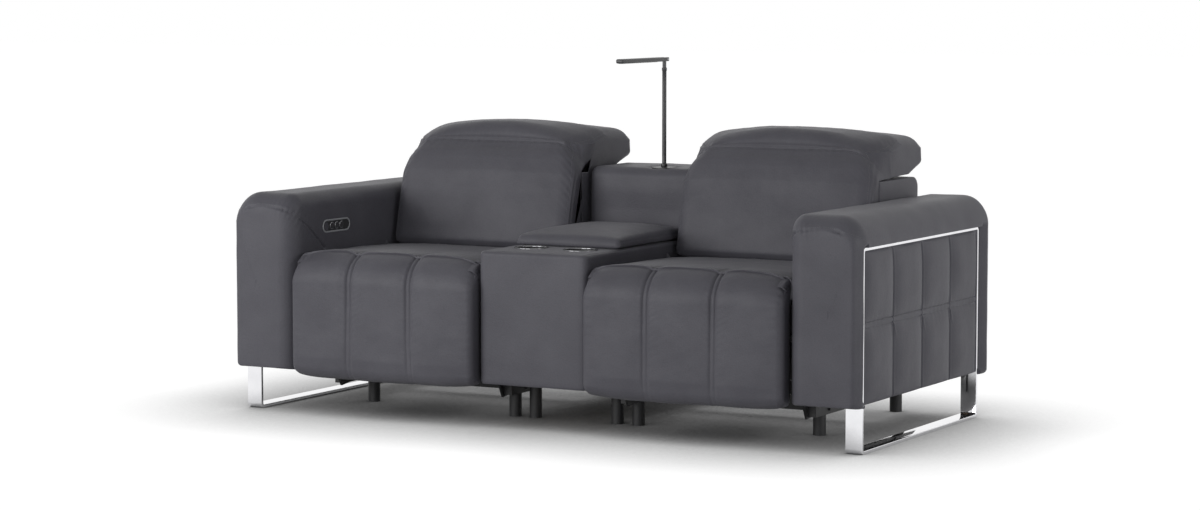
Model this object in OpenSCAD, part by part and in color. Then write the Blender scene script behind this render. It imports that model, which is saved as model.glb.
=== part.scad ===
// Two-seat power reclining sofa with a centre console.
// X runs across the sofa, -Y is the front, Z is up, and the floor is Z = 0.

/* [Layout] */
// Width of one seat
seat_w = 622; // [580:1:680]
// Width of each arm
arm_w = 218; // [200:1:250]
// Width of the centre console
console_w = 352; // [330:1:400]
// Slot between a seat and the arm or console beside it
side_gap = 4; // [4:0.5:8]
// Clearance between pieces that rest against each other
rest_gap = 0.3; // [0.2:0.05:0.5]
// Radial clearance of a pin in its running bore
run_gap = 0.05; // [0.03:0.01:0.1]

/* [Arms] */
// Height of the arm top
arm_h = 652; // [630:1:690]
// Height of the arm underside
arm_base = 128; // [115:1:140]
// Reach of the arm ahead of the origin
arm_front = 482; // [465:1:500]
// Reach of the arm behind the origin
arm_rear = 476; // [460:1:500]
// Radius of the outer shoulder
shoulder_r = 74; // [50:1:80]
// Radius of the front end of the arm
arm_nose_r = 58; // [45:1:70]
// Thickness of the upholstery over the arm frame
arm_wall = 20; // [16:1:24]
// Thickness of the plywood boards
board_t = 15; // [12:0.5:18]

/* [Chrome loops] */
// Width of the flat bar
bar_w = 50; // [40:1:60]
// Thickness of the flat bar
bar_t = 10; // [8:0.5:12]
// Front face of the loop, ahead of the origin
loop_front = 425; // [405:1:430]
// Rear face of the loop, behind the origin
loop_rear = 421; // [400:1:425]
// Height of the loop's top strip
loop_h = 567; // [545:1:580]
// Depth of the loop's face inside the arm's outer face
loop_inset = 14; // [8:1:20]
// Outer radius of the loop's bends
loop_bend = 15; // [12:1:25]

/* [Tufted side panels] */
// Quilted squares along the panel
tuft_cols = 4; // [3:1:5]
// Quilted squares up the panel
tuft_rows = 2; // [2:1:3]
// Swell of each square beyond its stitch lines
tuft_swell = 14; // [8:1:18]
// Height of the panel's lower edge above the arm underside
panel_lift = 6; // [3:1:12]

/* [Control panels] */
// Length of the oval bezel
bezel_l = 149; // [135:1:160]
// Height of the oval bezel
bezel_h = 39; // [34:1:44]
// Depth of the bezel body in the arm
bezel_t = 14; // [12:0.5:15]
// Height of the bezel's face above the leather
bezel_proud = 3; // [1:0.5:4]
// Height of the bezel's centre above the seat
bezel_up = 68; // [55:1:80]
// Distance of the bezel's centre ahead of the origin
bezel_front = 247; // [220:1:270]
// Diameter of a push button
button_d = 18; // [15:0.5:20]
// Travel of a push button
button_travel = 1.5; // [1:0.1:2]
// Spacing of the push buttons
button_pitch = 26; // [24:1:30]
// Diameter of the charging port's recess
port_d = 26; // [22:1:28]

/* [Seats] */
// Height of the seat's front edge
seat_h = 480; // [460:1:500]
// Fall of the seat towards the back
seat_fall = 14; // [5:1:25]
// Reach of the seat's nose ahead of the origin
seat_front = 500.5; // [490:0.5:515]
// Radius of the seat's nose
nose_r = 85; // [75:1:95]
// Thickness of the seat cushion
seat_t = 154; // [140:1:165]
// Rear end of the seat cushion behind the origin
seat_rear = 92; // [80:1:98]
// Crown of the seat across its width
seat_crown = 8; // [4:0.5:12]
// Depth of the stitched channels
channel_depth = 8; // [4:0.5:10]
// Width of a stitched channel
channel_w = 30; // [24:1:40]
// Edge radius at the sides of the seat
seat_edge_r = 10; // [6:0.5:11]

/* [Legrests] */
// Height of the legrest's lower edge
legrest_low = 114; // [105:1:125]
// Thickness of the legrest pad
legrest_t = 68; // [60:1:74]
// Depth of the hinge line under the nose surface
hinge_depth = 12; // [11:0.5:15]
// Diameter of the legrest hinge pins
hinge_pin_d = 8; // [6:0.5:9]
// Clearance between the links' lower ends and the base rails
link_clear = 37.6; // [25:0.1:50]
// Length along the seat of the link parallelogram
link_reach = 227; // [210:1:235]
// Width of a link bar
link_w = 20; // [16:1:22]
// Thickness of a link bar
link_t = 4; // [3:0.5:4.5]

/* [Backs and headrests] */
// Height of the folded headrest's top
back_top = 853; // [830:1:880]
// Reach of the headrest behind the origin
head_rear = 508.5; // [490:0.5:520]
// Rear face of the back cushion behind the origin
back_plane = 165; // [158:1:172]
// Share by which the headrest's front edge is narrower than its rear
top_taper = 0.11; // [0.05:0.01:0.15]
// Reach of the back shell behind the origin
shell_rear = 457; // [440:1:470]
// Height of the back shell's top ledge
shell_top = 705; // [690:1:715]
// Height of the back shell's lower edge
shell_low = 290; // [280:1:310]
// Thickness of the back shell's walls
shell_t = 18; // [14:1:20]
// Diameter of the recline hinge pins
recline_pin_d = 14; // [12:0.5:18]
// Diameter of the headrest's tube motor
tube_d = 30; // [26:1:32]

/* [Base] */
// Height of the feet under the seat base
foot_h = 70; // [60:1:80]
// Diameter of a foot
foot_d = 37; // [32:1:42]
// Height of the base rails
rail_h = 40; // [30:1:44]
// Width of the base rails
rail_w = 30; // [26:1:32]
// Forward travel of the seat on its base
glide = 100; // [80:1:100]

/* [Console] */
// Height of the console deck
deck_h = 513; // [500:1:530]
// Reach of the console ahead of the origin
console_front = 464; // [450:1:475]
// Front face of the console's back block behind the origin
console_split = 200; // [196:1:215]
// Height of the console's back block
console_back_h = 720; // [700:1:740]
// Bore of a cup holder
cup_d = 90; // [80:1:92]
// Depth of a cup holder
cup_depth = 80; // [60:1:95]
// Spacing of the two cup holders
cup_pitch = 162; // [150:1:170]
// Distance of the cup holders ahead of the origin
cup_front = 323; // [318:1:335]
// Thickness of the lid at its edges
lid_t = 28; // [22:1:32]
// Crown of the lid above its edges
lid_crown = 22; // [14:1:24]
// Front edge of the lid ahead of the origin
lid_front = 256; // [245:1:260]

/* [Lamp] */
// Distance of the pole to the right of the centre
lamp_x = 50; // [40:1:80]
// Distance of the pole behind the origin
lamp_y = 262; // [258:1:300]
// Diameter of the pole
pole_d = 13; // [10:0.5:16]
// Height of the lamp's top
lamp_h = 1058; // [950:1:1150]
// Length of the lamp head
lamp_l = 290; // [240:1:320]
// Diameter of the socket disc
socket_d = 76; // [60:1:80]

/* [Hidden] */

leather = [0.27, 0.27, 0.30];
steel = [0.22, 0.23, 0.25];
plywood = [0.72, 0.56, 0.38];
chrome = [0.85, 0.86, 0.88];
black = [0.06, 0.06, 0.07];
$fn = 48;
eps = 1; // overrun of a cut past a face

// Places across the sofa
half_seat = seat_w/2;
seat_x = console_w/2 + side_gap + half_seat;
arm_in = seat_x + half_seat + side_gap;
arm_out = arm_in + arm_w;
loop_out = arm_out - loop_inset;
loop_in = loop_out - bar_w;
recess_in = loop_in - rest_gap;

// Places of the seat, its hinge and its links
nose_y = -seat_front + nose_r;
nose_z = seat_h - nose_r;
hinge_r = nose_r - hinge_depth;
hinge_y = nose_y - hinge_r*cos(45);
hinge_z = nose_z + hinge_r*sin(45);
cushion_low = seat_h - seat_t;
spring_t = 3.5;
frame_top = cushion_low - rest_gap - spring_t;
frame_low = frame_top - 82;
legrest_back = -seat_front + legrest_t;
crossrail_y = legrest_back + 32;
link_pin_d = 10;
frame_pin_y = hinge_y + link_reach;
frame_pin_z = hinge_z - 150;
link_out = 50; // how far the links' lower pins lie behind the upper ones
rail_top = foot_h + rail_h;
link_drop = frame_pin_z - (rail_top + link_w/2 + link_clear);
pad_pin_y = hinge_y + link_out;
pad_pin_z = hinge_z - link_drop;
low_pin_y = frame_pin_y + link_out;
low_pin_z = frame_pin_z - link_drop;
seat_rail_t = 22;
seat_rail_out = half_seat - 15; // outer face of the seat's side rails
link_u = seat_rail_out + 2;     // inner face of the swing links
push_u = link_u + link_t + 1.5;
shoe_z = rail_top + rest_gap;
shoe_h = 12;
rail_out = half_seat - 2;
rail_in = rail_out - rail_w;

// Drive of the legrest: a nut on a spindle turns the torque tube through a fork
legrest_open = 84; // degrees between closed and open
nut_drop = 62;
nut_z = frame_pin_z - nut_drop;
nut_travel = 2*nut_drop*tan(legrest_open/2);
nut_y = frame_pin_y + nut_travel/2;
spindle_r = 8;
nut_half = 20;
fork_u = nut_half + 4;
fork_t = 6;

// Recline drive and hinge
recline_y = 150;
recline_z = seat_h - 100;
motor_u = half_seat - 86;
motor_half = 30;
motor_z = frame_low - rest_gap - motor_half;
rod_r = 9;
post_y = recline_y;
hinge_plate_u = seat_rail_out - seat_rail_t - 6;

// Back and headrest
head_y = back_plane + 18.5;
head_z = back_top - 66.5;
notch_r = tube_d/2 + 2.5;
ledge_z = shell_top + 3;   // underside of the back cushion over the shell
join_y = back_plane + 78;  // lower end of the join between back and headrest
back_low = seat_h - seat_fall + 1.5;

// Console and lamp
deck_t = 18;
console_wall = 20;
lid_low = deck_h + 3;
lid_half = console_w/2 - 4;
lid_rear = console_split - 28;
lid_pin_y = lid_rear - 2;
lid_pin_z = lid_low;
bin_half = console_w/2 - 46;
bin_rear = lid_pin_y - 30;
bin_front = lid_front - 20;
bin_t = 3;
bin_low = deck_h - 213;
cup_t = 3;
lamp_r = 10;
lamp_z = lamp_h - lamp_r;
socket_top = console_back_h + 1;
socket_t = 16;

// Unit step from a to b, and the outward side of an anticlockwise outline
function way(a, b) = (b - a)/norm(b - a);
function outward(d) = [d[1], -d[0]];
function limit(v, low, high) = max(low, min(high, v));
function total(list, i = 0) = i >= len(list) ? [0, 0, 0] : list[i] + total(list, i + 1);

// A rounded corner b between a and c: [corner, inward step, radius, direction, share of the end
// rounding]. No steps leave it sharp, and -1 steps make it follow only the line before it.
function corner(a, b, c, r, steps, share) =
    let (n1 = outward(way(a, b)), n2 = outward(way(b, c)), into = (n1 + n2)/(1 + n1*n2),
         bend = atan2(n1[0]*n2[1] - n1[1]*n2[0], n1*n2), start = atan2(n1[1], n1[0]))
    steps < 0 ? [[b, n1, 0, n1, share]]
    : steps == 0 ? [[b, into, 0, way([0, 0], n1 + n2), share]]
    : [for (i = [0:steps]) let (t = start + bend*i/steps)
        [b, into, bend < 0 ? -r : r, [cos(t), sin(t)], share]];
// Place of an outline's point when the outline is drawn in by d; its corners keep a small radius
function drawn_in(p, d) =
    let (r = p[2] > 0 ? max(p[2] - d, 0.5) : p[2] - d)
    p[2] == 0 ? p[0] - d*p[1] : p[0] - (d + r)*p[1] + r*p[3];
function ring(list) = [for (p = outline(list)) drawn_in(p, 0)];

// Outline from corners [a, b, radius, steps, share], anticlockwise
function outline(list) = let (n = len(list))
    [for (i = [0:n - 1]) let (p = list[(i + n - 1)%n], q = list[i], r = list[(i + 1)%n])
        each corner([p[0], p[1]], [q[0], q[1]], [r[0], r[1]], q[2], q[3], q[4])];

// Places across a piece: a rounded end of radius r, the listed places, and the other end
function places(half, r, steps, middle) =
    let (low = [for (i = [0:steps]) [-half + r*(1 - cos(90*i/steps)), r*(1 - sin(90*i/steps))]],
         high = [for (i = [steps:-1:0]) [half - r*(1 - cos(90*i/steps)), r*(1 - sin(90*i/steps))]])
    concat(low, [for (m = middle) [m, 0]], high);

// A closed skin over rings of equal length, which run anticlockwise about the way they advance;
// each end closes on a middle point
module skin(rings, first = undef, last = undef) {
    n = len(rings[0]);
    m = len(rings);
    low = is_undef(first) ? total(rings[0])/n : first;
    high = is_undef(last) ? total(rings[m - 1])/n : last;
    sides = [for (i = [0:m - 2], j = [0:n - 1]) let (a = i*n + j, b = i*n + (j + 1)%n)
        each [[a, a + n, b], [b, a + n, b + n]]];
    ends = [for (j = [0:n - 1]) each [[m*n, j, (j + 1)%n],
        [m*n + 1, (m - 1)*n + (j + 1)%n, (m - 1)*n + j]]];
    polyhedron([for (r = rings) each r, low, high], concat(sides, ends), 10);
}

// Solid of a side view (y, z) between two places across
module slab(u1, u2) {
    translate([u1, 0, 0]) rotate([90, 0, 90]) linear_extrude(u2 - u1) children();
}
module rod(u1, u2, y, z, r) {
    translate([u1, y, z]) rotate([0, 90, 0]) cylinder(h = u2 - u1, r = r);
}
// Block from its low corner to its high corner
module block(a, b) {
    translate(a) cube(b - a);
}
// Flat bar in the side view whose round ends stand a little proud of it all round
module link_bar(u1, u2, a, b, r) {
    skim = 0.3;
    rod(u1, u2, a[0], a[1], r);
    rod(u1, u2, b[0], b[1], r);
    translate([u1 + skim, a[0], a[1]]) rotate([atan2(b[1] - a[1], b[0] - a[0]), 0, 0])
        translate([0, 0, skim - r]) cube([u2 - u1 - 2*skim, norm(b - a), 2*(r - skim)]);
}
// Rounded rectangle in two dimensions
module round_box(a, b, r) {
    translate([a[0] + r, a[1]]) square([b[0] - a[0] - 2*r, b[1] - a[1]]);
    translate([a[0], a[1] + r]) square([b[0] - a[0], b[1] - a[1] - 2*r]);
    for (x = [a[0] + r, b[0] - r], y = [a[1] + r, b[1] - r]) translate([x, y]) circle(r);
}
module both_ways() {
    children();
    mirror([1, 0, 0]) children();
}
module at_left() {
    mirror([1, 0, 0]) children();
}
module left_seat() {
    translate([-seat_x, 0, 0]) children();
}
module right_seat() {
    translate([seat_x, 0, 0]) children();
}

// Arms
// The outer and lower faces draw in less than the top and the inner face
function arm_ring(y, inset) =
    let (x1 = arm_in + 0.95*inset, x2 = arm_out - 0.45*inset,
         z1 = arm_base + 0.15*inset, z2 = arm_h - inset,
         inner_r = max(42 - 0.5*inset, 12), outer_r = max(shoulder_r - 0.5*inset, 12))
    [for (p = ring([[x1, z1, 8, 2, 1], [x2, z1, 12, 2, 1], [x2, z2, outer_r, 6, 1], [x1, z2, inner_r, 5, 1]]))
        [p[0], y, p[1]]];
arm_steps = 5;
arm_rear_r = 30;
arm_places = concat(
    [for (i = [0:arm_steps]) let (t = 90*i/arm_steps)
        [arm_rear - arm_rear_r*(1 - cos(t)), arm_rear_r*(1 - sin(t))]],
    [for (i = [arm_steps:-1:0]) let (t = 90*i/arm_steps)
        [-arm_front + arm_nose_r*(1 - cos(t)), arm_nose_r*(1 - sin(t))]]);
frame_in = arm_in + arm_wall;
frame_out = recess_in - arm_wall;
frame_y1 = -arm_front + arm_nose_r + arm_wall;
frame_y2 = arm_rear - arm_rear_r - arm_wall;
frame_z2 = arm_h - shoulder_r - 10;
bezel_z = seat_h + bezel_up;

module bezel_shape(grow) {
    for (y = [-1, 1]) translate([y*(bezel_l - bezel_h)/2, 0]) circle(bezel_h/2 + grow);
    translate([-(bezel_l - bezel_h)/2, -bezel_h/2 - grow]) square([bezel_l - bezel_h, bezel_h + 2*grow]);
}
module at_bezel(u1, u2) {
    slab(u1, u2) translate([-bezel_front, bezel_z]) children();
}
module arm_cover() {
    color(leather) difference() {
        skin([for (s = arm_places) arm_ring(s[0], s[1])]);
        // recess of the loop and the side panel
        block([recess_in, -loop_front - rest_gap, arm_base - eps],
            [arm_out + eps, loop_rear + rest_gap, loop_h + rest_gap]);
        // cavity of the frame, open below
        block([frame_in, frame_y1, arm_base - eps], [frame_out, frame_y2, frame_z2]);
        at_bezel(arm_in - eps, arm_in + bezel_t + rest_gap) bezel_shape(rest_gap);
    }
}
module arm_frame() {
    g = rest_gap;
    color(plywood) difference() {
        block([frame_in + g, frame_y1 + g, arm_base], [frame_out - g, frame_y2 - g, frame_z2 - g]);
        block([frame_in + g + board_t, frame_y1 + g + board_t, arm_base + board_t],
            [frame_out - g - board_t, frame_y2 - g - board_t, frame_z2 - g - board_t]);
        block([frame_in + g + 2*board_t, frame_y1 + g + 2*board_t, arm_base - eps],
            [frame_out - g - 2*board_t, frame_y2 - g - 2*board_t, arm_base + board_t + eps]);
    }
}
module arm_frames() {
    both_ways() arm_frame();
}
module chrome_loop() {
    color(chrome) slab(loop_in, loop_out) difference() {
        round_box([-loop_front, 0], [loop_rear, loop_h], loop_bend);
        round_box([-loop_front + bar_t, bar_t], [loop_rear - bar_t, loop_h - bar_t], loop_bend - bar_t);
    }
}
// Quilted panel: each square swells between its stitch lines by a sine hump in both directions
tuft_cells = 5;
panel_gap = (loop_bend - bar_t)/3; // clears the loop's inner bends
panel_y1 = -loop_front + bar_t + panel_gap;
panel_y2 = loop_rear - bar_t - panel_gap;
panel_z1 = arm_base + panel_lift;
panel_z2 = loop_h - bar_t - panel_gap;
panel_face = loop_out - 6;
function hump(t) = sqrt(sqrt(abs(sin(180*t))));
module side_panel() {
    nu = tuft_cols*tuft_cells;
    nv = tuft_rows*tuft_cells;
    front = [for (j = [0:nv], i = [0:nu]) let (s = i/nu, t = j/nv)
        [panel_face + tuft_swell*hump(s*tuft_cols)*hump(t*tuft_rows),
         panel_y1 + (panel_y2 - panel_y1)*s, panel_z1 + (panel_z2 - panel_z1)*t]];
    edge = concat([for (i = [0:nu - 1]) i], [for (j = [0:nv - 1]) j*(nu + 1) + nu],
        [for (i = [nu:-1:1]) nv*(nu + 1) + i], [for (j = [nv:-1:1]) j*(nu + 1)]);
    k = len(edge);
    base = len(front);
    back = [for (e = edge) [loop_in, front[e][1], front[e][2]]];
    middle = [loop_in, (panel_y1 + panel_y2)/2, (panel_z1 + panel_z2)/2];
    quilt = [for (j = [0:nv - 1], i = [0:nu - 1]) let (a = j*(nu + 1) + i, b = a + nu + 1)
        each [[a, b, a + 1], [a + 1, b, b + 1]]];
    rim = [for (i = [0:k - 1]) let (n = (i + 1)%k)
        each [[edge[i], edge[n], base + i], [edge[n], base + n, base + i], [base + i, base + n, base + k]]];
    color(leather) polyhedron(concat(front, back, [middle]), concat(quilt, rim), 10);
}
// Control panel, its charging port at the front end and three buttons behind it
port_at = -(bezel_l - bezel_h)/2 + 2;
button_at = port_at + port_d/2 + button_d/2 + 7;
module control_panel() {
    color(steel) difference() {
        at_bezel(arm_in - bezel_proud, arm_in + bezel_t) bezel_shape(0);
        at_bezel(arm_in - bezel_proud - eps, arm_in + 6) translate([port_at, 0]) circle(port_d/2);
        for (i = [0:2]) at_bezel(arm_in - bezel_proud - eps, arm_in + 10)
            translate([button_at + i*button_pitch, 0]) circle(button_d/2 + rest_gap);
    }
}
module control_panels() {
    both_ways() control_panel();
}
module usb_port() {
    color(black) difference() {
        at_bezel(arm_in + 1, arm_in + 6 - rest_gap) translate([port_at, 0]) circle(port_d/2 - rest_gap);
        at_bezel(arm_in, arm_in + 4) translate([port_at - 6, -2.5]) square([12, 5]);
    }
}
module usb_ports() {
    both_ways() usb_port();
}
module button(i) {
    color(black) at_bezel(arm_in - bezel_proud - button_travel, arm_in + 10 - button_travel - 2*rest_gap)
        translate([button_at + i*button_pitch, 0]) circle(button_d/2);
}

// Base frame under each seat, in the seat's own place across
rail_front = 265;
rear_beam = 448.7;
foot_rear = rear_beam - 24.7;
foot_front = 200;        // feet of the console's side and of the console itself
foot_middle = 127;       // foot of the arm's side, under the front crossbeam
foot_out = half_seat - 54;
foot_in = half_seat - 26;
foot_console = console_w/2 - 39;
bracket_w = 58;
bracket_spots = [-180, 300];
bracket_reach = 55;
module foot_spots() {
    for (p = [[seat_x + foot_out, -foot_middle], [seat_x + foot_out, foot_rear],
            [seat_x - foot_in, -foot_front], [seat_x - foot_in, foot_rear]])
        translate([p[0], p[1], 0]) cylinder(h = foot_h, d = foot_d);
    for (y = [-foot_front, foot_rear]) translate([foot_console, y, 0]) cylinder(h = arm_base, d = foot_d);
}
module feet() {
    color(black) both_ways() foot_spots();
}
module base_half() {
    // rail with its pointed front bracket
    block([rail_in, -rail_front, foot_h], [rail_out, rear_beam, rail_top]);
    slab(rail_in, rail_in + 6) polygon([[-rail_front - 32, rail_top], [-rail_front - 8, foot_h - 6],
        [-rail_front + 40, foot_h], [-rail_front + 40, rail_top]]);
    // brackets that carry the base on the arm and the console
    plate_u = half_seat + side_gap - 0.7;
    for (y = bracket_spots) {
        block([rail_out, y, foot_h + 10], [plate_u, y + bracket_w, rail_top - 5]);
        block([half_seat + 0.3, y, foot_h + 10], [plate_u, y + bracket_w, arm_base - rest_gap]);
        block([half_seat + 0.3, y, arm_base - rest_gap - 6],
            [half_seat + side_gap + bracket_reach, y + bracket_w, arm_base - rest_gap]);
    }
}
module base_frame() {
    both_ways() base_half();
    for (y = [[-142, -112], [post_y, post_y + 25], [400, rear_beam]])
        block([-rail_in, y[0], foot_h], [rail_in, y[1], rail_top]);
    // post of the recline rod, and posts of the rear panel
    block([motor_u - 15, post_y, rail_top], [motor_u + 15, post_y + 15, motor_z + 18]);
    for (u = [-200, 200]) block([u - 15, 420, rail_top], [u + 15, rear_beam, 200]);
}
module base_frames() {
    color(black) {
        left_seat() base_frame();
        right_seat() base_frame();
    }
}
rod_l = 300;
module recline_rod() {
    translate([motor_u, post_y - rod_l, motor_z]) rotate([-90, 0, 0]) cylinder(h = rod_l, r = rod_r);
}
module recline_rods() {
    color(chrome) {
        left_seat() recline_rod();
        right_seat() recline_rod();
    }
}
module rear_panel() {
    block([-rail_out, rear_beam + rest_gap, arm_base], [rail_out, shell_rear, shell_low - 32]);
}
module rear_panels() {
    color(leather) {
        left_seat() rear_panel();
        right_seat() rear_panel();
    }
}

// Seat cushion: the upper part of the padded seat, down to the hinge line of the legrest
function bump(u, at, w) = abs(u - at) >= w/2 ? 0 : pow(cos(180*(u - at)/w), 2);
third = seat_w/6;
// Swell of the padding at a place across: a crown, less the two stitched channels
function swell(u, channels) = seat_crown*(1 - pow(u/half_seat, 4))
    - channels*channel_depth*(bump(u, third, channel_w) + bump(u, -third, channel_w));
seat_middle = [-215, -third - channel_w/2, -third - channel_w/4, -third, -third + channel_w/4,
    -third + channel_w/2, 0, third - channel_w/2, third - channel_w/4, third, third + channel_w/4,
    third + channel_w/2, 215];
seat_places = places(half_seat, seat_edge_r, 4, seat_middle);
split = sqrt(0.5); // the split between the seat and the legrest runs at 45 degrees
split_gap = 0.6;
nose_tip = nose_r*tan(22.5); // from the nose arc's ends to the corner of its two tangents
seat_outline = outline([
    [crossrail_y - 6, cushion_low, 6, 1, 0.5],
    [seat_rear, cushion_low, 20, 2, 0.5],
    [seat_rear, seat_h - seat_fall, 40, 4, 1],
    [-100, seat_h - seat_fall/2, 0, 0, 1],
    [nose_y - nose_tip, seat_h, nose_r, 4, 1],
    [nose_y - nose_tip - split*(nose_tip + 1), seat_h - split*(nose_tip + 1), 0, -1, 1],
    [hinge_y, hinge_z + split_gap, 0, 0, 0],
    [legrest_back + 12, nose_z - 3 + split_gap, 0, 0, 0]]);
// The crown lifts the top and pushes the nose forward along one slant
function seat_point(p, u, inset) =
    let (q = drawn_in(p, inset*p[4]), y = q[0], z = q[1],
         s = swell(u, limit((-y - 330)/80, 0, 1)),
         ahead = limit((-y - 380)/90, 0, 1),
         above = limit((z - nose_z + 20)/60, 0, 1)*limit((60 - y)/100, 0, 1),
         drawn = 5*pow(abs(u)/half_seat, 8)*max(0, 1 - pow((y + 190)/250, 2)))
    [u - sign(u)*drawn, y - s*ahead, z + s*above];
ear_u = half_seat - 111;
module hinge_slots() {
    both_ways() link_bar(ear_u - 14, ear_u + 8, [hinge_y, hinge_z],
        [hinge_y + 16, hinge_z - 16], hinge_pin_d + 1.5);
}
module seat_cushion() {
    end = [half_seat - 4, -200, seat_h - 40];
    color(leather) difference() {
        skin([for (s = seat_places) [for (p = seat_outline) seat_point(p, s[0], s[1])]],
            [-end[0], end[1], end[2]], end);
        hinge_slots();
    }
}
// Legrest pad: the lower part of the nose and the front panel
chamfer = 44;
legrest_outline = outline([
    [-seat_front, legrest_low, 36, 4, 1],
    [legrest_back, legrest_low, 18, 2, 0.5],
    [legrest_back, nose_z + 7 - split_gap, 0, 0, 0.3],
    [hinge_y, hinge_z - split_gap - 0.6, 0, 0, 0.3],
    [hinge_y - chamfer*0.66, hinge_z - chamfer*0.75, 0, 0, 1],
    [-seat_front, nose_z - 10, 0, 0, 1],
    [-seat_front, nose_z - 130, 0, 0, 1]]);
function legrest_point(p, u, inset) =
    let (q = drawn_in(p, inset*p[4]), y = q[0], z = q[1],
         s = swell(u, limit((z - legrest_low - 10)/60, 0, 1)),
         ahead = limit((legrest_back - 20 - y)/40, 0, 1)*limit((z - legrest_low + 20)/90, 0, 1)
             *(z > hinge_z - chamfer ? limit((hinge_z - 4 - z)/chamfer, 0, 1) : 1),
         low = z < legrest_low + 60 ? 10*pow(abs(u)/half_seat, 6)*(legrest_low + 60 - z)/60 : 0)
    [u, y - s*ahead, z + low];
module legrest_pad() {
    color(leather) difference() {
        skin([for (s = seat_places) [for (p = legrest_outline)
            legrest_point(p, s[0]*(half_seat - 1)/half_seat, s[1])]]);
        hinge_slots();
    }
}

// Seat frame: side rails, crossrails, hinge ears, back hinge plates and glide shoes
ear_r = hinge_pin_d;
module seat_frame_half() {
    rail_y2 = recline_y + 20;
    difference() {
        block([seat_rail_out - seat_rail_t, crossrail_y, frame_low], [seat_rail_out, rail_y2, frame_top]);
        rod(0, half_seat, frame_pin_y, frame_pin_z, spindle_r + run_gap);
    }
    // ear of the legrest hinge with its pin
    link_bar(ear_u, ear_u + 6, [hinge_y, hinge_z], [crossrail_y - 9, hinge_z - 32], ear_r);
    link_bar(ear_u + 0.2, ear_u + 5.8, [crossrail_y - 9, hinge_z - 32],
        [crossrail_y + 11, frame_top - 22], ear_r - 0.4);
    rod(ear_u - 12, ear_u + 6, hinge_y, hinge_z, hinge_pin_d/2);
    // plate of the recline hinge with its pin
    link_bar(hinge_plate_u, hinge_plate_u + 6, [recline_y, recline_z], [recline_y - 10, frame_low + 30], 20);
    rod(hinge_plate_u - 14, hinge_plate_u + 6, recline_y, recline_z, recline_pin_d/2);
    // side plate and glide shoes
    block([rail_in, -165, shoe_z + shoe_h], [rail_in + 6, 235, frame_low]);
    for (y = [-160, 165]) block([rail_in, y, shoe_z], [rail_out - 3, y + 60, shoe_z + shoe_h]);
}
module seat_frame() {
    color(steel) {
        both_ways() seat_frame_half();
        span = seat_rail_out - seat_rail_t;
        block([-span, crossrail_y, frame_top - 42], [span, crossrail_y + seat_rail_t, frame_top]);
        block([-span, 60, frame_low], [span, 85, frame_top]);
        // shelf of the recline motor
        block([motor_u - motor_half, -300, frame_low], [span, -232, frame_low + 6]);
    }
}
// Flat serpentine springs across the seat's length
loop_pitch = 24;
wire_half = 2;
module serpentine() {
    turns = floor((50 - crossrail_y)/loop_pitch);
    r = loop_pitch/2;
    linear_extrude(spring_t) {
        for (k = [0:turns - 1]) {
            side = k%2 == 0 ? 1 : -1;
            translate([side*10, k*loop_pitch]) intersection() {
                difference() {
                    circle(r + wire_half);
                    circle(r - wire_half);
                }
                translate([side > 0 ? 0 : -2*r, -2*r]) square([2*r, 4*r]);
            }
        }
        for (k = [0:turns]) translate([-10, k*loop_pitch - r - wire_half]) square([20, 2*wire_half]);
        translate([-wire_half, -r - 18]) square([2*wire_half, 18]);
        translate([-wire_half, turns*loop_pitch - r])
            square([2*wire_half, 65 - crossrail_y - turns*loop_pitch - 12]);
    }
}
module seat_springs() {
    color(steel) for (i = [-2:2]) translate([i*(seat_w - 130)/5, crossrail_y + 33, frame_top]) serpentine();
}
// Legrest frame: a board with hinge ears and link brackets
module legrest_frame_half() {
    ear = ear_u - 10;
    difference() {
        union() {
            link_bar(ear, ear + 6, [hinge_y, hinge_z], [hinge_y + 3, hinge_z - 46], ear_r);
            link_bar(ear + 0.2, ear + 5.8, [hinge_y + 3, hinge_z - 46],
                [legrest_back + 5, nose_z - 26], ear_r - 0.4);
        }
        rod(ear - eps, ear + 6 + eps, hinge_y, hinge_z, hinge_pin_d/2 + run_gap);
    }
    block([half_seat - 50, legrest_back + board_t, pad_pin_z - 16],
        [link_u + link_t, legrest_back + board_t + 6, pad_pin_z + 16]);
    rod(link_u, link_u + link_t, pad_pin_y, pad_pin_z, link_w/2);
    rod(link_u, push_u + link_t, pad_pin_y, pad_pin_z, link_pin_d/2);
}
module legrest_frame() {
    color(steel) {
        block([-half_seat + 26, legrest_back + rest_gap, legrest_low + 14],
            [half_seat - 26, legrest_back + board_t, nose_z - 30]);
        both_ways() legrest_frame_half();
    }
}
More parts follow.
